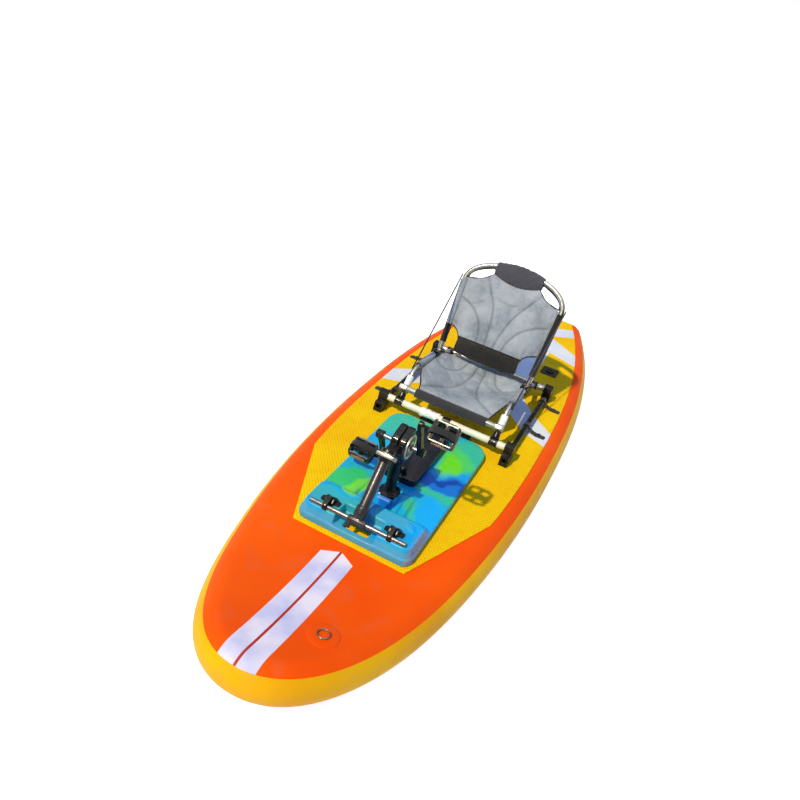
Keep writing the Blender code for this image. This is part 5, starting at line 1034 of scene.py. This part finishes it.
CREAM = moulded_plastic("cream_tube", paint(238, 233, 214), paint(206, 198, 172), 0.30, 0.03)
DARK_COLLAR = black_moulding("dark_collar_alloy", paint(46, 47, 52), paint(150, 152, 158), 0.26, 0.8)
for end, y, lean, coat, slot in (("front", FRONT_BAR_Y, LEG_TOP - FRONT_FOOT, CREAM, "cream_white_tube"),
                                 ("rear", REAR_BAR_Y, REAR_HEAD - REAR_FOOT, ALLOY, "bright_alloy")):
    bar_profile = [(BAR_RADIUS - 0.002, -BAR_REACH), (BAR_RADIUS, -BAR_REACH), (BAR_RADIUS, BAR_REACH),
                   (BAR_RADIUS - 0.002, BAR_REACH)]
    bar = turned(f"{end}_bar", soft_profile(bar_profile, 0.0007), (0, y, BAR_Z), "X", 32)
    smooth(bar, 40)
    fasten(bar, coat, "root", slot, f"{end}_crossbar")
    for sign, side in ((-1, "left"), (1, "right")):
        middle = Vector((sign * SIDE_X, y, BAR_Z))
        rings = soft_profile([(BAR_RADIUS + 0.0002, -0.016), (COLLAR_RADIUS, -0.016), (COLLAR_RADIUS, -0.011),
                              (COLLAR_RADIUS - 0.0012, -0.010), (COLLAR_RADIUS - 0.0012, 0.010),
                              (COLLAR_RADIUS, 0.011), (COLLAR_RADIUS, 0.016), (BAR_RADIUS + 0.0002, 0.016)],
                              0.0008)
        collar = turned(f"{end}_collar_{side}", rings, middle, "X", 32)
        smooth(collar, 40)
        fasten(collar, DARK_COLLAR, "root", "black_alloy")
        socket_profile = soft_profile([(TUBE_RADIUS + 0.0004, 0.0150), (TUBE_RADIUS + 0.0040, 0.0150),
                                       (TUBE_RADIUS + 0.0040, SOCKET_LENGTH - 0.006),
                                       (TUBE_RADIUS + 0.0030, SOCKET_LENGTH - 0.005),
                                       (TUBE_RADIUS + 0.0030, SOCKET_LENGTH),
                                       (TUBE_RADIUS + 0.0004, SOCKET_LENGTH)],
                                      0.0007)
        socket = between(f"{end}_socket_{side}", middle, middle + lean, socket_profile)
        fasten(socket, DARK_COLLAR, "root", "black_alloy")
wrap = turned("bar_wrap", [(BAR_RADIUS + 0.0003, WRAP_START)]
              + [(BAR_RADIUS + 0.0030, x) for x in spaced(WRAP_START, WRAP_END, 60)]
              + [(BAR_RADIUS + 0.0003, WRAP_END)], (0, FRONT_BAR_Y, BAR_Z), "X", 64)
for vertex in wrap.data.vertices:
    offset = Vector((0, vertex.co.y - FRONT_BAR_Y, vertex.co.z - BAR_Z))
    if offset.length > BAR_RADIUS + 0.002:
        x, y, z = vertex.co
        fold = abs(noise.noise(Vector((x * 55 + z * 40, y * 45, z * 60))))
        vertex.co += offset.normalized() * (0.0052 * fold - 0.0008)
smooth(wrap, 60)
WHITE_WRAP = moulded_plastic("white_wrap_tape", paint(240, 240, 242), paint(206, 206, 212), 0.45, 0.02)
fasten(wrap, WHITE_WRAP, "root", "cream_white_tube")
dress("middle_clamp", "middle_block", BLACK_PLASTIC, "root", "black_plastic", 0.0012, 3)

# Seat tubes: bright alloy legs that bend into the seat's sides, with white grips slipped on, and
# straight rear legs. Black brackets hinge the back, and a cloth sleeve covers the front tube.

LEG_GRIP_RADIUS = TUBE_RADIUS + 0.0036
LEG_GRIP_START = 0.0685
LEG_GRIP_END = 0.1085
WHITE_GRIP = moulded_plastic("white_grip", paint(238, 240, 244), paint(202, 206, 214), 0.35, 0.02)
up_leg = (LEG_TOP - FRONT_FOOT).normalized()
for sign, side in ((-1, "left"), (1, "right")):
    dress(f"seat_side_tube_{side}", f"side_tube_{side}", ALLOY, "root", "bright_alloy", 0.0, 2, 30, 50)
    foot = FRONT_FOOT + Vector((sign * SIDE_X, 0, 0))
    grip_profile = [(TUBE_RADIUS + 0.0028, LEG_GRIP_START), (LEG_GRIP_RADIUS, LEG_GRIP_START + 0.0005),
                    (LEG_GRIP_RADIUS, LEG_GRIP_END - 0.0005), (TUBE_RADIUS + 0.0028, LEG_GRIP_END)]
    grip = between(f"leg_grip_{side}", foot, foot + up_leg, soft_profile(grip_profile, 0.0006))
    fasten(grip, WHITE_GRIP, "root", "cream_white_tube")
    dress(f"rear_leg_{side}", f"rear_tube_{side}", ALLOY, "root", "bright_alloy", 0.0, 2, 30, 50)
    dress(f"hinge_bracket_{side}", f"hinge_plate_{side}", BLACK_ALLOY, "root", "dark_grey_tube", 0.0008, 2)
dress("front_tube", "seat_front_tube", ALLOY, "root", "bright_alloy", 0.0006, 2)
FRONT_CLOTH = woven_tape("front_sleeve_cloth", paint(52, 54, 60), paint(28, 29, 34), 900.0)
dress("front_sleeve", "front_cloth_sleeve", FRONT_CLOTH, "root", "black_webbing", 0.0008, 2)

# Seat back frame: one bent bright tube with an eye at each end, and black cloth sleeves round its sides.
# The tube is drawn again with more steps round its arch than the CAD solid has.

BACK_TOP_X = 0.211
BACK_TOP = 0.418
ARCH_START = 0.310
ARCH_POWER = 2.2
BACK_TUBE_RADIUS = 0.011
HEM_RADIUS = 0.0135
HEM_LOW = 0.040
HEM_HIGH = ARCH_START - 0.002
EYE_RADIUS = 0.0118
EYE_HALF = 0.0113
PIN_BORE = 0.0038
PIVOT = Vector((0, 0.280, 0.287))
BACK_LEAN = math.radians(28.5)
LEANING = Matrix.Translation(PIVOT) @ Matrix.Rotation(-BACK_LEAN, 4, "X")


def back_x(height):
    """Distance of the frame's side from the middle, at this height above the pivot along the lean."""
    return SIDE_X + (BACK_TOP_X - SIDE_X) * min(height / ARCH_START, 1)


def arch_height(x):
    """Height of the frame's arch at this distance from the middle."""
    share = min(abs(x) / BACK_TOP_X, 1)
    return ARCH_START + (BACK_TOP - ARCH_START) * (1 - share ** ARCH_POWER) ** (1 / ARCH_POWER)


def smooth_line(points, steps):
    """More points on a smooth curve through these ones."""
    points = [Vector(point) for point in points]
    made = []
    for i in range(len(points) - 1):
        a, b = points[i], points[i + 1]
        before = points[i - 1] if i else a * 2 - b
        after = points[i + 2] if i + 2 < len(points) else b * 2 - a
        for k in range(steps):
            t = k / steps
            cubic = (a * 3 - b * 3 + after - before) * (0.5 * t ** 3)
            square = (before * 2 - a * 5 + b * 4 - after) * (0.5 * t ** 2)
            made.append(cubic + square + (b - before) * (0.5 * t) + a)
    return made + [points[-1]]


def swept(name, points, section, closed=False, front=Vector((0, -1, 0))):
    """A solid with this section, as (front, side) pairs, along a line; front is kept as the first axis."""
    mesh = bmesh.new()
    points = [Vector(point) for point in points]
    loops = []
    for i, centre in enumerate(points):
        after = points[(i + 1) % len(points)] if closed else points[min(i + 1, len(points) - 1)]
        before = points[i - 1] if closed or i else points[0]
        tangent = (after - before).normalized()
        first = (front - tangent * front.dot(tangent)).normalized()
        second = tangent.cross(first)
        loops.append([mesh.verts.new(centre + first * a + second * b) for a, b in section])
    skin(mesh, loops, closed, True)
    if not closed:
        mesh.faces.new(list(reversed(loops[0])))
        mesh.faces.new(loops[-1])
    made = new_piece(name, mesh)
    smooth(made, 50)
    return made


def round_section(radius, steps):
    return [(radius * math.cos(2 * math.pi * i / steps), radius * math.sin(2 * math.pi * i / steps))
            for i in range(steps)]


def lean_with_back(piece):
    """Puts a piece drawn upright over the pivot at the back's resting lean."""
    piece.data.transform(LEANING)
    piece.data.update()


arch = []
for i in range(49):
    angle = math.pi * i / 48
    x = -math.copysign(abs(math.cos(angle)) ** (2 / ARCH_POWER) * BACK_TOP_X, math.cos(angle))
    arch.append(Vector((x, 0, arch_height(x))))
sides = [Vector((-back_x(h), 0, h)) for h in (0.004, 0.040, 0.100, 0.200)]
frame_line = sides + arch + [Vector((-p.x, 0, p.z)) for p in reversed(sides)]
tube = swept("back_tube", frame_line, round_section(BACK_TUBE_RADIUS, 20))
lean_with_back(tube)
fasten(tube, ALLOY, "seat_back", "bright_alloy", "back_frame")
BINDING = woven_tape("dark_binding", paint(20, 20, 24), paint(6, 6, 8), 900.0)
for sign, side in ((-1, "left"), (1, "right")):
    eye = turned(f"back_eye_{side}", soft_profile([(PIN_BORE, -EYE_HALF), (EYE_RADIUS, -EYE_HALF),
                                                   (EYE_RADIUS, EYE_HALF), (PIN_BORE, EYE_HALF)], 0.001),
                 (sign * SIDE_X, PIVOT.y, PIVOT.z), "X", 28)
    smooth(eye, 40)
    fasten(eye, GREY_TUBE, "seat_back", "dark_grey_tube")
    sleeve_line = [(sign * back_x(h), 0, h) for h in spaced(HEM_LOW, HEM_HIGH, 40)]
    sleeve = swept(f"back_hem_{side}", sleeve_line, round_section(HEM_RADIUS, 20))
    for vertex in sleeve.data.vertices:
        wrinkle = noise.noise(vertex.co * 55.0) * 0.0006
        centre = Vector((sign * back_x(vertex.co.z), 0, vertex.co.z))
        vertex.co += (vertex.co - centre).normalized() * (wrinkle - 0.0001)
    lean_with_back(sleeve)
    fasten(sleeve, BINDING, "seat_back", "black_webbing")

# Top sleeve: a padded sleeve of dark grey cloth, gathered over the arch of the back frame

PILLOW_HALF = 0.104
PILLOW_LOW = 0.373
PILLOW_SAG = 0.025
PILLOW_PADDING = 0.016
PILLOW_STATIONS = 72
PILLOW_AROUND = 40


def pillow_low(x):
    return PILLOW_LOW - PILLOW_SAG * max(0.0, 1 - (x / PILLOW_HALF) ** 2)


mesh = bmesh.new()
loops = []
for i in range(PILLOW_STATIONS + 1):
    x = -PILLOW_HALF + 2 * PILLOW_HALF * i / PILLOW_STATIONS
    high = arch_height(x) + PILLOW_PADDING + 0.004 * math.sin(math.pi * i / PILLOW_STATIONS)
    middle, half = (high + pillow_low(x)) / 2, (high - pillow_low(x)) / 2
    pinch = min(1.0, (PILLOW_HALF - abs(x)) / 0.006)
    pinch = 0.80 + 0.20 * math.sin(pinch * math.pi / 2)
    loop = []
    for k in range(PILLOW_AROUND):
        angle = 2 * math.pi * k / PILLOW_AROUND
        depth = (0.0130 + 0.0085 * (1 + math.sin(angle)) / 2) * pinch
        point = Vector((x, depth * math.cos(angle), middle + half * math.sin(angle) * pinch ** 0.5))
        fold = noise.noise(Vector((x * 75 + point.z * 30, angle * 0.6, 3.1)))
        crease = abs(noise.noise(Vector((x * 40 - point.z * 55, point.z * 18, 7.7))))
        inward = Vector((0, math.cos(angle), math.sin(angle)))
        point += inward * (0.0013 * fold - 0.0022 * max(0.0, 0.16 - crease) / 0.16)
        loop.append(mesh.verts.new(point))
    loops.append(loop)
skin(mesh, loops, False, True)
mesh.faces.new(list(reversed(loops[0])))
mesh.faces.new(loops[-1])
pillow = new_piece("top_sleeve", mesh)
apply_modifier(pillow, "SUBSURF", levels=1)
smooth(pillow, 60)
SLEEVE_CLOTH = woven_tape("dark_sleeve_cloth", paint(84, 84, 96), paint(50, 50, 60), 700.0)
lean_with_back(pillow)
fasten(pillow, SLEEVE_CLOTH, "seat_back", "black_webbing", "head_pillow")

# Quilted pads of the seat and the back: a cloth bag over soft foam, sewn through along curved channels.
# Each starts as a thin bag, sewn at its edge and channels, and a cloth simulation fills it.

PAD_SPACING = 0.0042
SEWN_GAP = 0.0030
CHANNEL_SHADE = 0.0085
CROWN_REACH = 0.022
STARTING_FILL = 0.62
FILL_FRAMES = 20
FILL_PRESSURE = 5.0
FILL_LIMIT = 0.007


def ease(start, end, value):
    t = min(max((value - start) / (end - start), 0), 1)
    return t * t * (3 - 2 * t)


def across_at(edge, along):
    """Half the width of a pad at this distance along it, from the corner points of its right edge."""
    for (x0, y0), (x1, y1) in zip(edge, edge[1:]):
        if y0 <= along <= y1:
            return x0 + (x1 - x0) * (along - y0) / (y1 - y0)
    return edge[-1][0] if along > edge[-1][1] else edge[0][0]


def rows_along(edge):
    rows = [edge[0][1]]
    for (_, y0), (_, y1) in zip(edge, edge[1:]):
        steps = max(1, round((y1 - y0) / PAD_SPACING))
        rows += spaced(y0, y1, steps)[1:]
    return rows


def normal_at(surface, x, y):
    step = 1e-3
    here = Vector(surface(x, y))
    return (Vector(surface(x + step, y)) - here).cross(Vector(surface(x, y + step)) - here).normalized()


def sew_round(mesh, sheets):
    """Makes two grids of points into two sheets of cloth and joins them all round their rims."""
    rims = []
    for grid in sheets:
        skin(mesh, grid, False, False)
        rim = grid[0] + [row[-1] for row in grid[1:]] + list(reversed(grid[-1][:-1]))
        rims.append(rim + [row[0] for row in reversed(grid[1:-1])])
    skin(mesh, rims, False, True)


def quilted_pad(name, edge, surface, thickness, channels, face_in):
    """The sewn bag as a piece, with its sewn points marked in a held attribute and a shade along its seams.
    """
    lines = [smooth_line([(x, y, 0) for x, y in channel], 24) for channel in channels]
    sewn = [Vector((s * p.x, p.y)) for line in lines for p in line for s in (-1, 1)]
    tree_of_points = KDTree(len(sewn))
    for i, point in enumerate(sewn):
        tree_of_points.insert((point.x, point.y, 0), i)
    tree_of_points.balance()
    rows = rows_along(edge)
    columns = round(2 * max(x for x, _ in edge) / PAD_SPACING)
    mesh = bmesh.new()
    shade = mesh.verts.layers.float.new("seam")
    held = mesh.verts.layers.float.new("held")
    sheets = []
    for face in (1, -1):
        grid = []
        for j, y in enumerate(rows):
            row = []
            half = across_at(edge, y)
            for i in range(columns + 1):
                s = 2 * i / columns - 1
                x, along = s * half, y
                rim = i in (0, columns) or j in (0, len(rows) - 1)
                distance = tree_of_points.find((x, along, 0))[2]
                on_seam = not rim and distance < PAD_SPACING * 0.56
                inset = min((1 - abs(s)) * half, along - rows[0], rows[-1] - along)
                crown = min(1.0, min(distance, inset) / CROWN_REACH)
                deep = SEWN_GAP + (thickness - SEWN_GAP) * STARTING_FILL * math.sin(crown * math.pi / 2)
                if rim:
                    deep = SEWN_GAP * 0.8
                place = Vector(surface(x, along)) + normal_at(surface, x, along) * (face * face_in * deep / 2)
                vertex = mesh.verts.new(place)
                vertex[shade] = max(0.0, 1 - distance / CHANNEL_SHADE) ** 1.6
                vertex[held] = 1.0 if rim or on_seam else 0.0
                row.append(vertex)
            grid.append(row)
        sheets.append(grid)
    sew_round(mesh, sheets)
    return new_piece(name, mesh)


def fill_pad(piece):
    """Fills a sewn bag by cloth simulation, holds each point within the limit, and rounds the cloth."""
    rest = [vertex.co.copy() for vertex in piece.data.vertices]
    sewn = [item.value for item in piece.data.attributes["held"].data]
    group = piece.vertex_groups.new(name="sewn")
    group.add([i for i, value in enumerate(sewn) if value > 0.5], 1.0, "REPLACE")
    only(piece)
    cloth = piece.modifiers.new("cloth", "CLOTH")
    cloth.settings.quality = 5
    cloth.settings.mass = 0.15
    cloth.settings.tension_stiffness = 20
    cloth.settings.compression_stiffness = 20
    cloth.settings.bending_stiffness = 0.15
    cloth.settings.vertex_group_mass = "sewn"
    cloth.settings.shrink_min = -0.035
    cloth.settings.use_pressure = True
    cloth.settings.uniform_pressure_force = FILL_PRESSURE
    cloth.settings.effector_weights.gravity = 0
    cloth.collision_settings.use_collision = False
    for step in range(1, FILL_FRAMES + 1):
        scene.frame_set(step)
    bpy.ops.object.modifier_apply(modifier=cloth.name)
    scene.frame_set(1)
    piece.vertex_groups.clear()
    for vertex, start, value in zip(piece.data.vertices, rest, sewn):
        moved = vertex.co - start
        if value > 0.5:
            vertex.co = start
        elif moved.length > FILL_LIMIT:
            vertex.co = start + moved * (FILL_LIMIT / moved.length)
    piece.data.attributes.remove(piece.data.attributes["held"])
    apply_modifier(piece, "SUBSURF", levels=1)
    smooth(piece, 70)


def quilt_cloth(name, light, middle, dark, seam_shade_colour):
    """Faded woven cloth in three tones, with painted shade along its sewn channels, which the seam attribute
    marks.
    """
    made, tree, shader, place = begin(name, middle, 0.82)
    marks = put(tree, "ShaderNodeGroup", {"Vector": place, "Size": 0.10}, node_tree=PATCHES)
    fine = put(tree, "ShaderNodeGroup", {"Vector": place, "Size": 0.020}, node_tree=PATCHES)
    cloth = put(tree, "ShaderNodeGroup", {"Vector": place, "Threads per metre": 800.0}, node_tree=WEAVE)
    tone = mixed(tree, ramp(tree, marks.outputs["Patches"], 0.46, 0.62), middle, light)
    tone = mixed(tree, ramp(tree, marks.outputs["Patches"], 0.44, 0.34), tone, dark)
    tone = mixed(tree, ramp(tree, fine.outputs["Patches"], 0.50, 0.66, 0.0, 0.45), tone, light)
    tone = mixed(tree, ramp(tree, fine.outputs["Mottle"], 0.50, 0.72, 0.0, 0.40), tone, dark)
    tone = mixed(tree, ramp(tree, cloth.outputs["Height"], 0.0, 0.6, 0.22, 0.0), tone, seam_shade_colour)
    seam = put(tree, "ShaderNodeAttribute", attribute_name="seam")
    # Painted shade in the grooves of the sewn channels.
    tone = mixed(tree, math_node(tree, "MULTIPLY", seam.outputs["Fac"], 0.62), tone, seam_shade_colour)
    tree.links.new(tone, shader.inputs["Base Color"])
    base = relief(tree, shader, cloth.outputs["Height"], 0.00020)
    base = relief(tree, shader, fine.outputs["Patches"], 0.0012, base)
    relief(tree, shader, marks.outputs["Mottle"], 0.0018, base)
    shader.inputs["Sheen Weight"].default_value = 0.15
    return made


def bound_edge(name, points, finish, body, radius=0.0022, closed=False):
    """A folded tape sewn over an edge, as a flat round cord along it."""
    tape = swept(name, points, round_section(radius, 10), closed)
    if body == "seat_back":
        lean_with_back(tape)
    fasten(tape, finish, body, "black_webbing")


SEAT_HALF = 0.181
SEAT_EDGE = ((0.144, -0.036), (0.147, -0.022), (0.154, 0.000), (0.165, 0.021), (0.174, 0.036),
             (SEAT_HALF, 0.054), (SEAT_HALF, 0.258), (0.177, 0.270), (0.166, 0.282), (0.148, 0.290),
             (0.128, 0.300))
SEAT_RISE = 0.022
SEAT_THICKNESS = 0.016
SEAT_CHANNELS = (((0.145, -0.004), (0.091, 0.043), (0.050, 0.102), (0.028, 0.182), (0.018, 0.278)),
                 ((SEAT_HALF, 0.198), (0.146, 0.181), (0.122, 0.186), (0.100, 0.206), (0.074, 0.246),
                  (0.058, 0.289)))


def seat_surface(x, y):
    """Sags in its middle, rides up to the side tubes, and rises behind the hips."""
    t = (y - SEAT_EDGE[0][1]) / (SEAT_EDGE[-1][1] - SEAT_EDGE[0][1])
    centre = 0.249 + 0.055 * (t - 0.5) ** 2 + SEAT_RISE * ease(0.78, 1.0, t)
    edge = 0.262 + 0.040 * ease(0.0, 0.26, t) - 0.020 * ease(0.3, 1.0, t)
    return (x, y, centre + (edge - centre) * min(abs(x) / SEAT_HALF, 1) ** 2.2)


SEAT_CLOTH = quilt_cloth("grey_seat_cloth", paint(170, 177, 185), paint(148, 156, 165), paint(124, 133, 143),
                         paint(52, 58, 68))
cushion = quilted_pad("seat_cushion", SEAT_EDGE, seat_surface, SEAT_THICKNESS, SEAT_CHANNELS, 1)
fill_pad(cushion)
fasten(cushion, SEAT_CLOTH, "root", "grey_seat_fabric", "seat_pad")

BACK_LOW = 0.082
BACK_INNER = 0.1888
SCOOP_START = 0.324
SCOOP_END = 0.375
BACK_THICKNESS = 0.014
BACK_EDGE = ((0.136, BACK_LOW), (0.143, 0.094), (0.156, 0.106), (0.172, 0.114), (BACK_INNER, 0.122),
             (BACK_INNER + 0.0084, SCOOP_START), (0.177, 0.328), (0.144, 0.337), (0.128, 0.346),
             (0.116, 0.356), (0.099, SCOOP_END))
BACK_CHANNELS = (((0.116, 0.350), (0.074, 0.287), (0.044, 0.227), (0.026, 0.153), (0.018, 0.084)),
                 ((0.188, 0.240), (0.135, 0.218), (0.088, 0.177), (0.064, 0.133), (0.053, 0.084)))


def back_surface(x, y):
    """Bulges forward at the loin, and its top edge sags with the sleeve above it."""
    t = (y - BACK_LOW) / (SCOOP_END - BACK_LOW)
    bulge = 0.046 * (1 - ease(0.0, 0.75, t)) + 0.012 * (1 - t)
    forward = bulge * (1 - min(abs(x) / BACK_INNER, 1) ** 2.2) + 0.006
    sag = PILLOW_SAG * ease(0.55, 1.0, t) * max(0.0, 1 - (x / PILLOW_HALF) ** 2)
    return (x, -forward, y - sag)


BACK_CLOTH = quilt_cloth("grey_back_cloth", paint(170, 177, 186), paint(150, 158, 168), paint(128, 137, 147),
                         paint(54, 60, 70))
back = quilted_pad("back_cushion", BACK_EDGE, back_surface, BACK_THICKNESS, BACK_CHANNELS, -1)
fill_pad(back)
lean_with_back(back)
fasten(back, BACK_CLOTH, "seat_back", "grey_seat_fabric", "back_pad")

# Hems: the grey cloth of the two pads goes on over the tubes beside them, and is sewn down on their
# outer sides

HEM_THICKNESS = 0.0013
HEM_STEPS = 14
HEM_END = {"left": 62, "right": 138}


def hem_section(radius, start, end):
    """An arc of cloth between two angles round a tube; 0 points outwards and 90 to the front."""
    arc = [math.radians(degrees) for degrees in spaced(start, end, HEM_STEPS)]
    outer = [(math.sin(a) * (radius + HEM_THICKNESS), math.cos(a) * (radius + HEM_THICKNESS)) for a in arc]
    inner = [(math.sin(a) * (radius + 0.0003), math.cos(a) * (radius + 0.0003)) for a in reversed(arc)]
    return outer + inner


def mirrored(section, sign):
    return [(a, sign * b) for a, b in section]


BACK_HEM_START = 0.118
BACK_HEM_END = SCOOP_START - 0.006
SIDE_TUBE_HEM = 0.0125
SEAT_HEM_START = 0.036
SEAT_HEM_END = 0.188
TUBE_END = Vector((0, 0.2425, 0.291))
side_run = (TUBE_END - LEG_TOP).normalized()
for sign, side in ((-1, "left"), (1, "right")):
    line = [Vector((sign * back_x(h), 0, h)) for h in spaced(BACK_HEM_START, BACK_HEM_END, 40)]
    section = mirrored(hem_section(HEM_RADIUS + 0.0004, 184, HEM_END[side]), sign)
    hem = swept(f"back_cloth_hem_{side}", line, section)
    for vertex in hem.data.vertices:
        vertex.co.y -= 0.0007 * max(0.0, noise.noise(vertex.co * 40.0))
    lean_with_back(hem)
    fasten(hem, BACK_CLOTH, "seat_back", "grey_seat_fabric")
    start = LEG_TOP + Vector((sign * SIDE_X, 0, 0))
    line = [start + side_run * reach for reach in spaced(SEAT_HEM_START, SEAT_HEM_END, 30)]
    hem = swept(f"seat_cloth_hem_{side}", line, mirrored(hem_section(SIDE_TUBE_HEM, 212, 8), sign), False,
                Vector((0, 0, 1)))
    fasten(hem, SEAT_CLOTH, "root", "grey_seat_fabric")

# Bound edges: black woven tape, folded over the cloth and sewn down round the openings of the back,
# along its lower seam, and on the front corners of the seat

LUMBAR_HALF = 0.134
LUMBAR_TOP_HALF = 0.131


def lumbar_point(s, t, lift=0.0):
    """A point of the lumbar band; s goes across and t up."""
    x = s * (LUMBAR_HALF - (LUMBAR_HALF - LUMBAR_TOP_HALF) * t)
    joined = -back_surface(x, BACK_LOW)[1]
    low = 0.012 + 0.008 * s * s
    free = 0.036 - 0.010 * s * s
    forward = free + (joined - free) * math.sin(math.pi / 2 * t)
    return Vector((x, -forward - lift, low + (BACK_LOW + 0.002 - low) * t))


low_seam = [Vector(back_surface(0.136 * (i / 20 - 1), BACK_LOW)) - Vector((0, 0.0016, -0.001))
            for i in range(41)]
bound_edge("loin_seam_tape", low_seam, BINDING, "seat_back", 0.0024)
for sign, side in ((-1, "left"), (1, "right")):
    scoop = [Vector(back_surface(sign * x, y)) for x, y in BACK_EDGE[5:]]
    under = [Vector((sign * x, -0.004, arch_height(x) - BACK_TUBE_RADIUS - 0.0028))
             for x in (0.106, 0.125, 0.145, 0.165, 0.180)]
    under.append(Vector((sign * (back_x(0.345) - 0.0165), -0.004, 0.342)))
    ring = smooth_line(scoop + under + [scoop[0]], 5)[:-1]
    bound_edge(f"scoop_binding_{side}", ring, BINDING, "seat_back", 0.0028, True)
    low_edge = [Vector(back_surface(sign * x, y)) for x, y in reversed(BACK_EDGE[:5])]
    band_side = [lumbar_point(sign, t) for t in (0.80, 0.55, 0.30, 0.12)]
    bound_edge(f"loin_binding_{side}", smooth_line(low_edge + band_side, 6), BINDING, "seat_back", 0.0032)
    front_edge = [Vector(seat_surface(sign * x, y)) for x, y in SEAT_EDGE[:6]]
    bound_edge(f"seat_front_binding_{side}", smooth_line(front_edge, 5), BINDING, "root", 0.0031)

# Lumbar band: a doubled band of black cloth, stretched from the back's lower seam down to the seat,
# with soft creases

BAND_ACROSS = 70
BAND_UP = 20
BAND_HALF_THICK = 0.0016
mesh = bmesh.new()
sheets = []
for face in (1, -1):
    grid = []
    for j in range(BAND_UP + 1):
        t = j / BAND_UP
        row = []
        for i in range(BAND_ACROSS + 1):
            s = 2 * i / BAND_ACROSS - 1
            crease = noise.noise(Vector((s * 5.5 + t * 1.6, t * 2.2, 1.3))) * 0.0022 * math.sin(math.pi * t)
            crease += noise.noise(Vector((s * 14 - t * 4, t * 3.5, 5.2))) * 0.0009
            row.append(mesh.verts.new(lumbar_point(s, t, face * BAND_HALF_THICK + crease)))
        grid.append(row)
    sheets.append(grid)
sew_round(mesh, sheets)
lumbar = new_piece("lumbar_band", mesh)
smooth(lumbar, 60)
BLACK_CLOTH = woven_tape("black_band_cloth", paint(17, 17, 21), paint(7, 7, 9), 1100.0, 0.6)
lean_with_back(lumbar)
fasten(lumbar, BLACK_CLOTH, "seat_back", "black_webbing")

# Straps: flat black webbing. The side straps hold the back up from the seat's front, and four
# tie-downs lash the rails to square patches on the deck.

ANCHOR_X = 0.322
TIE_HALF = 0.0125
for side in ("left", "right"):
    strap = from_cad(f"side_strap_{side}", f"side_webbing_{side}", 0.0004, 2)
    strap.data.materials.append(WEBBING)
    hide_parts(f"side_strap_{side}")
    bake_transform(strap)
    for end in ("front", "rear"):
        tie = from_cad(f"tie_down_{end}_{side}", f"tie_strap_{end}_{side}", 0.0)
        low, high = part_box(f"tie_down_{end}_{side}")
        middle = (low[1] + high[1]) / 2
        shaped = bmesh.new()
        shaped.from_mesh(tie.data)
        disc = [v for v in shaped.verts if abs(v.co.x) > ANCHOR_X - 0.0255 and v.co.z < low[2] + 0.0021]
        for vertex in disc:
            vertex.co.y = middle + max(-TIE_HALF, min(TIE_HALF, vertex.co.y - middle))
        shaped.to_mesh(tie.data)
        shaped.free()
        apply_modifier(tie, "BEVEL", width=0.0004, segments=2, limit_method="ANGLE")
        fasten(tie, WEBBING, "root", "black_webbing", f"tie_down_{end}_{side}")
